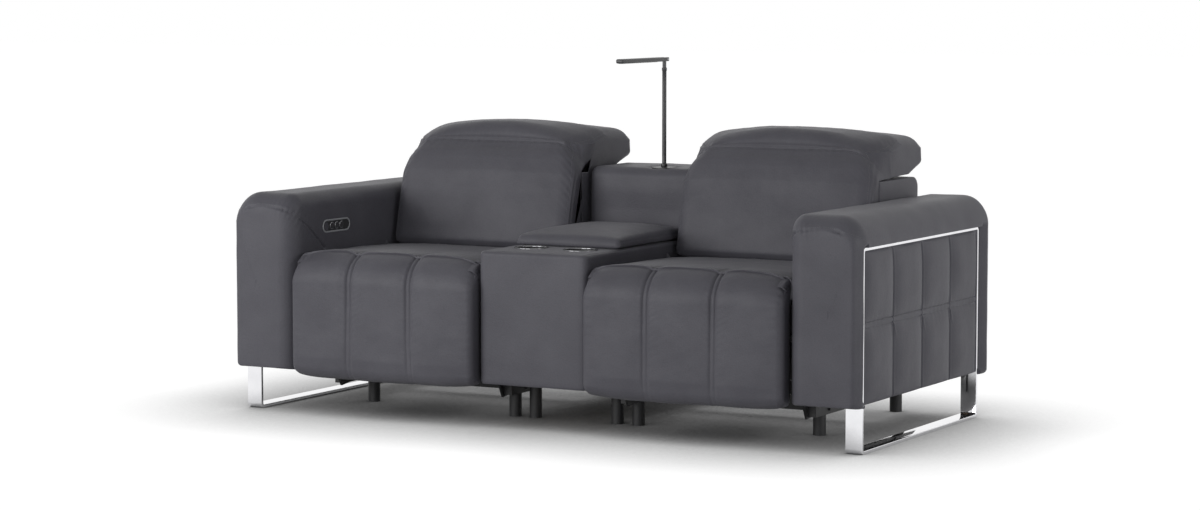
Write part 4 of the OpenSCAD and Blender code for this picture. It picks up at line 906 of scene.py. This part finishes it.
def seatLift(flat, bent, run, noseRun, side):
    # crown, three lanes between two sewn channels, gathers and soft creases of the cover
    look, half, third = seatPadding, seat["half"], seat["third"]
    u, y, z = np.moveaxis(flat, -1, 0)
    size, offset = np.abs(u), np.array([side * layout["seatX"], 0, 0])
    frontness = ramp(y, -400, -470)
    fade = 1 - 0.85 * ramp(z, 178, 118) * frontness
    rearFade, sideFade = ramp(y, 80, 20), ramp(size, half - 1, half - 25)
    lift = look["crown"] * bulge(u, 0, half) * fade * rearFade * np.maximum(ramp(z, 375, 435), frontness)
    laneAt = u / third / 2 + 0.5
    lane = 1 - np.abs(2 * (laneAt - np.floor(laneAt)) - 1) ** 3
    onTop = z > 430
    lane = lane * np.where(onTop, 0.15 + 0.85 * ease(y, -250, -450), 1.0)
    lift += look["lane"] * lane * fade * sideFade * rearFade
    # the channels' middles wander a little along the seat
    beside = np.abs(size - third - 1.5 * np.sin(run / 140 + 1.0 + side))
    gap = look["channelGap"]
    deep = fade * (0.5 + 0.5 * hill(run, noseRun + 60, 150)) * np.where(onTop, ease(y, -350, -452), 1.0)
    gathers = puckers(run + 0.5 * beside, np.maximum(beside - gap, 0), pitch=19.0, reach=22.0, seed=1.9)
    gathers = gathers * (beside > gap)
    lift += deep * (look["ridge"] * hill(beside, 0, 4.5) + look["lip"] * hill(beside, gap + 7, 4.5)
                    + look["gathers"] * gathers - look["channel"] * hill(beside, 0, look["channelWidth"])
                    - look["seam"] * hill(beside, gap * 0.8, 2.4))
    atSide = puckers(run, half - size, pitch=23.0, reach=22.0, seed=0.4 + side)
    lift += look["sideGathers"] * atSide * ease(half - size, 4, 14)
    lift += look["uneven"] * softNoise(bent + offset, size=210, seed=5 + side) * sideFade
    finer = softNoise(bent * [1, 1.6, 1] + offset, size=42, seed=15 + side, octaves=2)
    return lift + look["creases"] * finer * sideFade


def makeSeat(side, word):
    # two plain cores, and one cover over both that runs from the seat's top over the nose, where the legrest
    # hinges, down the legrest's front
    seatX = side * layout["seatX"]
    offset = np.array([seatX, 0, 0])
    u, inset = placesAcross(seat["half"] - 3, 10, 14.0, 6)
    rings = seatFit(sideRings(seatCorners, u, inset + 4, 10.0)) + offset
    stack = capped(rings, (seatX - 305, -200, 440), (seatX + 305, -200, 440))
    core = solidFromRings(f"seatPad.{word}", stack, leather, 50)
    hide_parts(f"seat_cushion_{word}")
    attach(core, f"carriage_{word}")
    rings = legrestFit(sideRings(legrestCorners, u, inset + 3, 10.0)) + offset
    core = solidFromRings(f"legrestPad.{word}", capped(rings), leather, 50)
    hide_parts(f"legrest_pad_{word}")
    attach(core, f"legrest_{word}")

    flat = seatCoverGrid()
    u, y, z = np.moveaxis(flat, -1, 0)
    low = np.where(y < -430, lowCorners(u, z), 0)
    corner = seatPadding["cornerDrop"] * (np.abs(u) / seat["half"]) ** 12
    corner = corner * ramp(z, 400, 460) * ease(y, -150, -420)
    bent = np.stack([u - sidesIn(u, y), y + 0.5 * corner, z + low - corner], -1)
    middle = bent[len(bent) // 2, :, 1:]
    run = lengthsAlong(middle)
    noseRun = run[np.argmin(np.abs(middle[:, 1] - 478) + np.abs(middle[:, 0] + 440))]
    lift = seatLift(flat, bent, run[None], noseRun, side)
    piece = sheetPiece(f"seatCover.{word}", bent + offset, seat["cover"], leather, lift)
    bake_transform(piece)


for side, word in hands:
    makeSeat(side, word)
print("seats made")


# Backs and headrests

# the seam is the place (y, z) where back and headrest meet, and the way runs from one to the other there
back = {"half": 309.5, "edge": 46.0, "seam": (172.0, 790.0), "way": (0.797, 0.604), "blend": 18.0,
        "sidesX": (291.0, 309.5), "panelHalf": 309.0, "round": 312.0, "fall": 60.0, "bow": 9.0}
head = {"front": 183.5, "low": 786.5, "top": 853.0, "drop": 90.0, "dropMost": 64.0, "rearDrop": 0.44}
backPadding = {"ridge": 3.4, "crease": 1.5, "roll": 0.8, "crossGathers": 1.0, "welt": 1.7, "weltCrease": 1.5,
               "gathers": 1.5, "lumbar": 5.0, "shoulder": 3.0, "uneven": 1.9, "creases": 0.35, "rear": 3.5}


def pulledIn(u, z, share=1.0):
    # the place across: the back's top is narrower than its foot by up to 11 %, and the last corner is
    # drawn in a little more near the crosswise seam
    narrower = 0.11 * ramp(z, 690, 797) ** 1.5
    corner = 15 * ease(np.abs(u), 258, 311) * ease(z, 758, 793)
    return u * (1 - narrower * share) - np.sign(u) * corner * share


def roundDrop(u, power):
    # drop of a rounded edge as a share of its height: 1 - root of (1 - |u/half width|^power)
    return 1 - np.sqrt(np.maximum(1 - (np.abs(u) / back["round"]) ** power, 0))


def cornerFall(u, z):
    # the top edge falls towards the rounded corners, and less so further down
    return back["fall"] * roundDrop(u, 9) * ramp(z, 600, 805)


def backFit(p, frontShare, forward):
    # the front falls at the top corners, bows forward in the middle and narrows upwards
    u, y, z = np.moveaxis(p, -1, 0)
    front = frontShare * cornerFall(u, z)
    bow = forward * back["bow"] * (1 - (u / layout["halfSeat"]) ** 2) * ramp(z, 803, 763)
    return np.stack([pulledIn(u, z - front), y - bow - 0.15 * front, z - front], -1)


def headFit(p):
    # the headrest's front edge drops to the sides as a circle does and its rear less so; with the drop its
    # front narrows as the back does, and it falls with the back's top corners
    u, y, z = np.moveaxis(p, -1, 0)
    drop = head["drop"] * roundDrop(u, 2) * (1 - (1 - head["rearDrop"]) * ease(y, 190, 330))
    above = np.maximum(z - head["low"], 0) / (head["top"] - head["low"])
    lowered = np.minimum(drop, head["dropMost"]) * above
    front = cornerFall(u, z) * ease(y, 250, 188)
    level = z - np.maximum(lowered, front)
    return np.stack([pulledIn(u, level, ramp(y, 250, head["front"]) ** 1.5), y - 0.15 * front, level], -1)


def backRings():
    # one closed outline round the headrest and the back: under the headrest, round its rear and top, over
    # the seam, down the front, under the back and up behind it. Returns the rings, each place's share of
    # the headrest, and the side view's own line.
    outline = [(250, 709, 6, .08), (388.5, 711, 0, .15), (494.5, 733, 26, .5), (508.5, 793, 34, .8),
               (472.5, 837, 40, 1), (318.5, 853, 0, 1), (182, 853, 50, .95), (170, 798, 22, .85),
               (138, 765, 44, .75), (113, 703, 80, .65), (99, 653, 0, .65), (62, 494, 40, .65),
               (68, 467.5, 14, .6), (165, 467.5, 6, .3), (165, 707, 0, 0), (246, 707, 0, .1)]
    keys = cornerKeys(outline, 3.4)
    line = outerLine(keys)
    spots = spotsOn([line], 4.8, [(173, 800), (165, 793)], 1.8, 20.0)
    u, inset = placesAcross(back["half"], back["edge"], 5.6, 16, wall=(6, 12))
    grid = sideGrid(u, onSpots(drawIn(keys, inset), spots))
    view = onSpots(line[None], spots)[0]
    y, z = view.T
    isHead = ease((view - back["seam"]) @ back["way"], -16, 16)
    forward = ramp(y, 150, 130) * ramp(z, 470, 490)
    onBack = backFit(grid, ((y < 164) | (z > 720)) * 1.0, forward)
    return onBack * (1 - isHead)[:, None] + headFit(grid) * isHead[:, None], isHead, view, u


def backLift(grid, isHead, view, u, run, fromEnd, side):
    # seams, gathers, lumbar and shoulder fullness; also says where the side seam is sewn
    look, offset = backPadding, np.array([side * layout["seatX"], 0, 0])
    y, z = grid[..., 1], grid[..., 2]
    away = run - run[np.argmin(np.linalg.norm(view - [171, 797], axis=1))]
    outside = (view[:, 0] < 164) | (view[:, 1] > 712) | (view[:, 0] > 256)
    # the crosswise seam: a soft ridge over it, a crease and a low roll under it
    cross = look["ridge"] * hill(away, -4, 5.5) - look["crease"] * hill(away, 5.0, 3.6)
    cross = cross + look["roll"] * hill(away, 17, 9)
    lift = cross * (0.25 + 0.75 * ease(fromEnd, 20, 70))
    gathers = puckers(u, away, pitch=27.0, reach=22.0, seed=0.9 + side)
    lift += look["crossGathers"] * gathers * ease(fromEnd, 15, 60)
    # the side seam: a welt with a crease behind it, and slanted gathers beside it
    sewn = outside * ease(run, 120, 200) * (z > 470) * ((isHead < 0.5) | (y < 330))
    lift += sewn * (look["welt"] * hill(fromEnd, 26, 3.6) - look["weltCrease"] * hill(fromEnd, 18, 3.0))
    beyond = np.maximum(fromEnd - 30, 0)
    gathers = puckers(run + 0.8 * fromEnd, beyond, pitch=25.0, reach=24.0, seed=2.2 + side)
    lift += look["gathers"] * sewn * gathers * ease(fromEnd, 27, 38)
    full = look["lumbar"] * hill(z, 590, 60) + look["shoulder"] * hill(z, 715, 50)
    lift += (1 - isHead) * ease(z, 480, 540) * (view[:, 0] < 164) * full * bulge(u, 0, layout["halfSeat"])
    inside = ease(fromEnd, 8, 60) * outside
    lift += look["uneven"] * softNoise(grid + offset, size=240, seed=21 + side) * inside
    lift += look["creases"] * softNoise(grid + offset, size=45, seed=27 + side, octaves=2) * inside
    return lift * outside, sewn, away


def backSeams(grid, sewn, away, fromEnd):
    # lines of stitches inside the welt of each side seam, and under the crosswise seam
    normals, middle = gridNormals(grid, True), len(grid) // 2
    along = sewn[middle] > 0.5
    lines = []
    for rows in (slice(0, middle), slice(middle + 1, None)):
        row = np.arange(len(grid))[rows][np.argmin(np.abs(fromEnd[rows, 0] - 34))]
        lines.append((grid[row, along], normals[row, along]))
    column, rows = np.argmin(np.abs(away - 9)), fromEnd[:, 0] > 34
    return lines + [(grid[rows, column], normals[rows, column])]


def makeBack(side, word):
    # back cushion and headrest in one skin, whose two shapes blend across the crosswise seam, and its
    # stitches
    seatX = side * layout["seatX"]
    offset = np.array([seatX, 0, 0])
    grid, isHead, view, u = backRings()
    # distance from the side wall over the rounded end, and then across
    fromWall, edge = back["half"] - np.abs(u[:, None]), back["edge"]
    overRound, pastRound = edge * np.arccos(limit(1 - fromWall / edge)), edge * (math.pi / 2 - 1) + fromWall
    fromEnd = np.where(fromWall < edge, overRound, pastRound)
    lift, sewn, away = backLift(grid, isHead, view, u[:, None], lengthsAlong(view), fromEnd, side)
    grid = grid + gridNormals(grid, True) * lift[..., None] + offset
    piece = flatEnded(f"backPad.{word}", grid, leather)
    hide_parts(f"back_cushion_{word}", f"headrest_pad_{word}")
    stitches = stitchPiece(f"backStitches.{word}", backSeams(grid, sewn, away, fromEnd))
    for soft in (piece, stitches):
        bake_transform(soft)


def makeShell(side, word):
    # outer back: a wrapped panel over the ledge and the rear, and two side panels
    seatX = side * layout["seatX"]
    outline = [(435, 290, 0, 1), (453, 290, 4, 1), (457, 705, 32, 1), (167, 705, 4, 1), (167, 688, 0, 1),
               (439, 688, 12, 1)]
    u, inset = placesAcross(back["panelHalf"], 5, 16.0, 5)
    rings = sideRings(outline, u, inset, 12.0, 4.0) + [seatX, 0, 0]
    x, y, z = np.moveaxis(rings, -1, 0)
    full = ease(y, 440, 452) * bulge(x, seatX, back["round"]) * ramp(z, 700, 640) * ramp(z, 286, 346)
    rings[..., 1] += backPadding["rear"] * full
    wrap = solidFromRings(f"outerBack.{word}", capped(rings, steps=2), leather, 45)
    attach(wrap, f"back_{word}")
    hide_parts(f"back_shell_{word}")
    outline = [(167, 470, 4, 1), (330, 292, 4, 1), (452, 292, 4, 1), (455, 703, 31, 1), (167, 703, 4, 1)]
    place, inset = roundedEnds(*back["sidesX"], 3)
    for hand in (-1, 1):
        rings = sideRings(outline, hand * place, inset, 12.0, 4.0) + [seatX, 0, 0]
        where = "inner" if hand * side < 0 else "outer"
        cheek = solidFromRings(f"backSide.{word}.{where}", capped(rings, steps=6), leather, 45)
        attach(cheek, f"back_{word}")


for side, word in hands:
    makeBack(side, word)
    makeShell(side, word)
print("backs made")


# Console

console = {"half": 176.0, "front": -464.0, "rear": 198.0, "low": 128.0, "deck": 513.0, "edge": 12.0,
           "corner": 18.0, "cupX": 81.0, "cupY": -323.0, "cupRadius": 45.0, "cupDeep": 80.0, "cupFoot": 10.0,
           "cupWall": 1.6, "binX": 134.0, "binFront": -240.0, "binRear": 150.0, "skirt": 6.0, "top": 5.0}


def makeConsoleSkirt():
    # the console's sides: a rounded rectangle carried up to the deck and turned in over its edge
    half, front, rear, low, deck = (console[k] for k in ("half", "front", "rear", "low", "deck"))
    edge, rise = quarterRound(console["edge"], 8)
    sides = spread(low + 8, deck - console["edge"], 12.0)[1:]
    z = np.concatenate([[low, low + 3, low + 8], sides, deck - rise[1:], [deck]])
    inset = np.concatenate([[4, 1.2], np.zeros(1 + len(sides)), edge[1:], [22]])
    lines = []
    for d in inset:
        radius = max(console["corner"] - 0.3 * d, 6)
        keys = rectangleKeys((-half + d, front + d), (half - d, rear - d * 0.2), radius, 50, 3)
        lines.append(outerLine(keys))
    flat = onSpots(np.stack(lines), spotsOn([lines[5]], 9.0))
    grid = np.concatenate([flat, np.repeat(z[:, None, None], flat.shape[1], 1)], 2)
    x, y, level = np.moveaxis(grid, -1, 0)
    full = ramp(level, 135, 195) * ramp(level, 500, 440) * bulge(x, 0, 178, 6) * (y < -440)
    normals = gridNormals(grid, True)
    lift = 1.6 * full + 0.6 * softNoise(grid, size=160, seed=3)
    front = (grid + normals * lift[..., None]).reshape(-1, 3)
    behind = front - normals.reshape(-1, 3) * console["skirt"]
    piece = walled("consoleLeather", front, behind, gridFaces(*grid.shape[:2], True), leather, 60)
    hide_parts("console_cover")
    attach(piece, "base")


def makeDeck():
    # the deck's top panel, with round holes for the cups and an opening for the bin
    half, front, rear = console["half"] - 13, console["front"] + 13, console["rear"] - 3
    binX, binFront, binRear = console["binX"], console["binFront"], console["binRear"]
    xs = np.unique(np.round([*spread(-half, half, 4.0), -binX, binX], 3))
    ys = np.unique(np.round([*spread(front, rear, 4.0), binFront, binRear], 3))
    y, x = np.meshgrid(ys, xs, indexing="ij")
    z = console["deck"] + 0.6 + 1.2 * (1 - (x / half) ** 4) * ramp(y, front, front + 30)
    points = np.stack([x, y, z], 2)
    points[..., 2] += 0.3 * softNoise(points, size=90, seed=8)
    points, faces = points.reshape(-1, 3), gridFaces(*x.shape, False)
    middleX, middleY = np.abs(points[faces].mean(1)[:, 0]), points[faces].mean(1)[:, 1]
    cup = np.hypot(middleX - console["cupX"], middleY - console["cupY"]) < console["cupRadius"] + 5
    opening = (middleX < binX) & (middleY > binFront) & (middleY < binRear)
    used, renumbered = np.unique(faces[~(cup | opening)], return_inverse=True)
    top, under = points[used], points[used] - [0, 0, console["top"]]
    piece = walled("consoleDeck", top, under, renumbered.reshape(-1, 4), leather, 40)
    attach(piece, "base")


lid = {"half": 172.0, "front": -256.0, "rear": 172.0, "low": 516.0, "top": 544.0, "crown": 22.0,
       "seam": 534.0, "seamDepth": 1.3}
block = {"half": 175.5, "front": 200.0, "rear": 457.0, "low": 128.0, "top": 720.0, "faceFrom": 596.0,
         "face": 4.5, "crown": 2.5, "flat": 5.5}


def lidFit(p):
    # the lid's top crowns in both directions above its seam
    x, y, z = np.moveaxis(p, -1, 0)
    middle, halfLong = (lid["front"] + lid["rear"]) / 2, (lid["rear"] - lid["front"]) / 2
    crown = lid["crown"] * (1 - (x / lid["half"]) ** 4) * (1 - ((y - middle) / halfLong) ** 4)
    return np.stack([x, y, z + crown * ease(z, 524, 536)], -1)


def makeLid():
    # a crowned pad with a seam round its edge
    front, rear, low, top = lid["front"], lid["rear"], lid["low"], lid["top"]
    u, inset = placesAcross(lid["half"], 16, 6.0, 12)
    outline = [(front, low, 5, .4), (rear, low, 5, .4), (rear, top, 14, 1), (82, top, 0, 1), (-42, top, 0, 1),
               (-166, top, 0, 1), (front, top, 18, 1)]
    rings, first, last = capped(lidFit(sideRings(outline, u, inset, 5.0)), steps=4)
    normals = gridNormals(rings, True)
    seam = lid["seamDepth"] * hill(rings[..., 2], lid["seam"], 2.2) * (np.abs(normals[..., 2]) < 0.75)
    rings = rings + normals * (0.5 * softNoise(rings, size=120, seed=17) - seam)[..., None]
    piece = solidFromRings("lidPad", (rings, first, last), leather, 60)
    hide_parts("console_lid")
    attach(piece, "lid")


def makeConsoleBack():
    # the block behind the lid, full on its front above the lid's swing and on its top, flat at the lamp
    front, rear, low, high = block["front"], block["rear"], block["low"], block["top"]
    u, inset = placesAcross(block["half"], 22, 7.0, 12)
    outline = [(front, low, 6, .2), (rear, low, 6, .2), (rear, high, 40, 1), (front, high, 28, 1)]
    rings, first, last = capped(sideRings(outline, u, inset, 7.0), steps=10)
    normals = gridNormals(rings, True)
    x, y, z = np.moveaxis(rings, -1, 0)
    across = bulge(x, 0, console["half"])
    face = facing(-normals[..., 1], 0.4) * across * ramp(z, block["faceFrom"], block["faceFrom"] + 50)
    face = face * ramp(z, high - 8, high - 58)
    top = facing(normals[..., 2], 0.4) * across * ramp(y, front, front + 50) * ramp(y, rear, rear - 50)
    atLamp = ease(np.hypot(x - lamp["x"], y - lamp["y"]), 62, 38)
    lift = block["face"] * face + (block["crown"] - block["flat"] * atLamp) * top
    lift = lift + 0.7 * softNoise(rings, size=150, seed=23)
    stack = (rings + normals * lift[..., None], first, last)
    piece = solidFromRings("consoleBackPad", stack, leather, 60)
    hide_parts("console_back")
    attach(piece, "base")


def makeCup(side, word):
    # cup holder: a flat rolled chrome rim over the deck, its colour darkened as painted dark reflection, and
    # a dark cup with a rounded foot
    r, top, wall = console["cupRadius"], console["deck"] + 4.2, console["cupWall"]
    x, y = side * console["cupX"], console["cupY"]
    t = np.linspace(0, math.pi, 11)
    roll = [(r + 3.0 + 2.2 * math.cos(a), top - 1.6 + 1.5 * math.sin(a)) for a in t]
    under = [(r + 0.8, top - 5.5), (r + 2.4, top - 5.5), (r + 2.8, top - 4.6)]
    section = np.array([(r + 5.2, top - 4.6), *roll, *under])
    out, high = section[:, :1], section[:, 1:]
    around = np.linspace(0, 2 * math.pi, 96, endpoint=False)[None]
    grid = np.stack([x + out * np.cos(around), y + out * np.sin(around), high + 0 * around], 2)
    rim = tubeFromGrid(f"cupRim.{word}", grid, looks["chromeDarkenedForReflection"], 40)
    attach(rim, "base")
    low = top - console["cupDeep"]
    rise, draw = quarterRound(console["cupFoot"], 6)
    outer = list(zip(r + wall - draw, low - wall + rise))
    inner = list(zip((r - draw)[::-1], (low + rise)[::-1]))
    profile = [(0.5, low - wall), *outer, (r + wall, top - 6), (r + 0.1, top - 6), *inner, (0.5, low)]
    cup = revolved(f"cup.{word}", profile, (x, y, 0), "z", looks["mouldedBlack"], "black_plastic", 96, 50)
    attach(cup, "base")
    if side > 0:
        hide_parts("cup_holders")


lamp = {"x": 50.0, "y": 262.0, "pole": 6.5, "foot": 708.3, "neck": 1022.6, "tilt": 1048.0, "length": 290.0}
makeConsoleSkirt()
makeDeck()
makeLid()
makeConsoleBack()
for side, word in hands:
    makeCup(side, word)
print("console made")


# Control panels

bezel = {"y": -247.0, "z": 548.0, "length": 149.0, "height": 39.0, "proud": 3.0, "rimIn": 2.2, "rimWide": 2.6,
         "rimHigh": 1.6, "ringWide": 1.5, "ringHigh": 0.5}


def stadium(grow, count=24):
    # a bar with round ends in (y, z): two half circles joined by straight lines
    r = bezel["height"] / 2 + grow
    half = (bezel["length"] - bezel["height"]) / 2
    t = np.linspace(-math.pi / 2, math.pi / 2, count)
    right = np.stack([bezel["y"] + half + r * np.cos(t), bezel["z"] + r * np.sin(t)], 1)
    left = np.stack([bezel["y"] - half - r * np.cos(t), bezel["z"] - r * np.sin(t)], 1)
    return np.concatenate([right, left])


def makeRim(side, word):
    # the panel's satin frame: a low rounded section carried round the stadium
    t = np.linspace(0, 2 * math.pi, 16, endpoint=False)
    flat = np.stack([stadium(bezel["rimWide"] * math.cos(a) - bezel["rimIn"]) for a in t])
    x = arm["inner"] - bezel["proud"] + 0.3 - bezel["rimHigh"] * np.sin(t)
    rim = tubeFromGrid(f"panelRim.{word}", sideGrid(side * x, flat), looks["satinGrey"])
    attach(rim, "base")


def makeRing(side, word, button):
    # a thin bright ring round a button, its section a flat oval
    low, high = (np.array(v) * 1000 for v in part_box(f"{button}_button_{word}"))
    x, y, z = (low + high) / 2
    radius = (high[1] - low[1]) / 2 + 0.4
    t = np.linspace(0, 2 * math.pi, 12, endpoint=False)
    around = np.linspace(0, 2 * math.pi, 40, endpoint=False)
    out = (radius + bezel["ringWide"] * (1 + np.cos(t)) / 2)[:, None]
    flat = np.stack([y + out * np.cos(around), z + out * np.sin(around)], 2)
    proud = arm["inner"] - bezel["proud"] - 0.1 - bezel["ringHigh"] * np.sin(t)
    name = f"buttonRing.{button}.{word}"
    ring = tubeFromGrid(name, sideGrid(side * proud, flat), looks["brightRing"])
    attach(ring, "base")


for side, word in hands:
    makeRim(side, word)
    for button in ("open", "close", "head"):
        makeRing(side, word, button)
print("control panels made")


# Lamp

def makeLamp():
    # a turned pole with its collar and tongue, a pin, and the head bar with two cheeks and a light strip
    x, y, pole = lamp["x"], lamp["y"], lamp["pole"]
    profile = [(0.3, lamp["foot"]), (pole, lamp["foot"]), (pole, 721.5), (9.5, 722), (10, 723), (10, 730),
               (9.4, 731.5), (7.2, 732.5), (pole, 734), *((pole, z) for z in np.linspace(760, 1012, 8)),
               (7.6, 1014), (7.8, 1020), (7.4, lamp["neck"]), (0.3, lamp["neck"])]
    paint, length = (looks["lampPaint"], "lamp_black"), lamp["length"]
    post = revolved("lampPole", profile, (x, y, 0), "z", *paint, 40, 40)
    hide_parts("lamp_pole")
    tongue = barPiece("lampTongue", (x - 3.9, y - 6, 1018), (x + 3.9, y + 6, 1052), 1.2, *paint)
    profile = [(0.2, -13), (2.6, -13), (3.0, -12.6), (3.0, 12.6), (2.6, 13), (0.2, 13)]
    pin = revolved("lampPin", profile, (x, y, lamp["tilt"]), "x", looks["zincSteel"], "zinc_steel", 24, 40)
    for piece in (post, tongue, pin):
        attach(piece, "lamp_pole")
    head = barPiece("lampHead", (x - 12.5, y - length, 1041.5), (x + 12.5, y - 22, 1054.5), 4.5, *paint)
    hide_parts("lamp_head")
    cheeks = [barPiece(f"lampCheek.{word}", (x + d, y - 34, 1042), (x + d + 7.9, y + 9.5, 1054), 2.4, *paint)
              for word, d in (("a", -12.3), ("b", 4.4))]
    strip = barPiece("lampStrip", (x - 8, y - length + 8, 1040.6), (x + 8, y - 60, 1044), 1.4,
                     looks["lampDiffuser"], "grey_plastic")
    for piece in (head, *cheeks, strip):
        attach(piece, "lamp_head")


makeLamp()
print("lamp made")


# Stage, light and camera

stageLook = {"half": 40.0, "floor": 0.80, "floorSeen": 0.12, "shadeReach": 0.5, "shadeCurve": 1.7,
             "sky": 0.06}


def directlySeen(nodes, links):
    # 1 for camera, glossy and transmission rays, 0 for all others
    path = nodes.new("ShaderNodeLightPath")
    total = path.outputs["Is Camera Ray"]
    for ray in ("Is Glossy Ray", "Is Transmission Ray"):
        total = mathNode(nodes, links, "ADD", total, path.outputs[ray], True)
    return total


def makeFloor():
    # a wide pale floor that shows white to the camera and in metal, and darker where the sofa shades it:
    # openness raised to the shade's curve
    mesh = bpy.data.meshes.new("floor")
    s = stageLook["half"]
    mesh.from_pydata([(-s, -s, 0), (s, -s, 0), (s, s, 0), (-s, s, 0)], [], [(0, 1, 2, 3)])
    material, nodes, links, shader = newMaterial("paleFloor")
    nodes.remove(shader)
    seen = directlySeen(nodes, links)
    diffuse = nodes.new("ShaderNodeBsdfDiffuse")
    links.new(ranged(nodes, links, seen, stageLook["floor"], stageLook["floorSeen"]), diffuse.inputs["Color"])
    openness = nodes.new("ShaderNodeAmbientOcclusion")
    openness.samples = 8
    openness.inputs["Distance"].default_value = stageLook["shadeReach"]
    shade = mathNode(nodes, links, "POWER", openness.outputs["AO"], stageLook["shadeCurve"])
    glow = nodes.new("ShaderNodeEmission")
    links.new(mathNode(nodes, links, "MULTIPLY", shade, seen), glow.inputs["Strength"])
    both = nodes.new("ShaderNodeAddShader")
    links.new(diffuse.outputs[0], both.inputs[0])
    links.new(glow.outputs[0], both.inputs[1])
    links.new(both.outputs[0], nodes["Material Output"].inputs["Surface"])
    mesh.materials.append(material)
    floor = bpy.data.objects.new("floor", mesh)
    bpy.context.scene.collection.objects.link(floor)


def makeWorld():
    # white to the camera and in metal, a plain soft grey for lighting
    world = bpy.data.worlds.new("studio")
    bpy.context.scene.world = world
    world.use_nodes = True
    nodes, links = world.node_tree.nodes, world.node_tree.links
    strength = ranged(nodes, links, directlySeen(nodes, links), stageLook["sky"], 1.0)
    links.new(strength, nodes["Background"].inputs["Strength"])
    nodes["Background"].inputs["Color"].default_value = (1, 1, 1, 1)


def softBox(name, place, target, size, power):
    # a large light turned to its target
    data = bpy.data.lights.new(name, "AREA")
    data.shape, data.size, data.size_y, data.energy = "RECTANGLE", *size, power
    light = bpy.data.objects.new(name, data)
    bpy.context.scene.collection.objects.link(light)
    x, y, z = np.array(target, float) - np.array(place, float)
    light.location = place
    light.rotation_euler = (math.atan2(math.hypot(x, y), -z), 0, math.atan2(y, x) - math.pi / 2)


# each light: place, target, size in metres and power in watts
lamps = {"keyLight": ((-3.2, -5.0, 1.8), (0, 0, 0.45), (3.4, 2.0), 140.0),
         "lowLight": ((0.5, -6.0, 1.2), (0, 0, 0.4), (3.0, 1.4), 50.0),
         "sideLight": ((5.0, -0.3, 1.4), (0.8, 0, 0.4), (2.0, 1.6), 50.0)}
view = {"place": (4.406, -8.197, 1.302), "tilt": 84.9, "turn": 28.42, "lens": 94.16, "sensor": 36}

makeFloor()
makeWorld()
for lampName, setting in lamps.items():
    softBox(lampName, *setting)
camera = bpy.data.objects.new("camera", bpy.data.cameras.new("camera"))
bpy.context.scene.collection.objects.link(camera)
camera.location = view["place"]
camera.rotation_euler = (math.radians(view["tilt"]), 0, math.radians(view["turn"]))
camera.data.lens, camera.data.sensor_width = view["lens"], view["sensor"]
bpy.context.scene.camera = camera
bpy.context.scene.view_settings.view_transform = "Standard"
print("stage made")
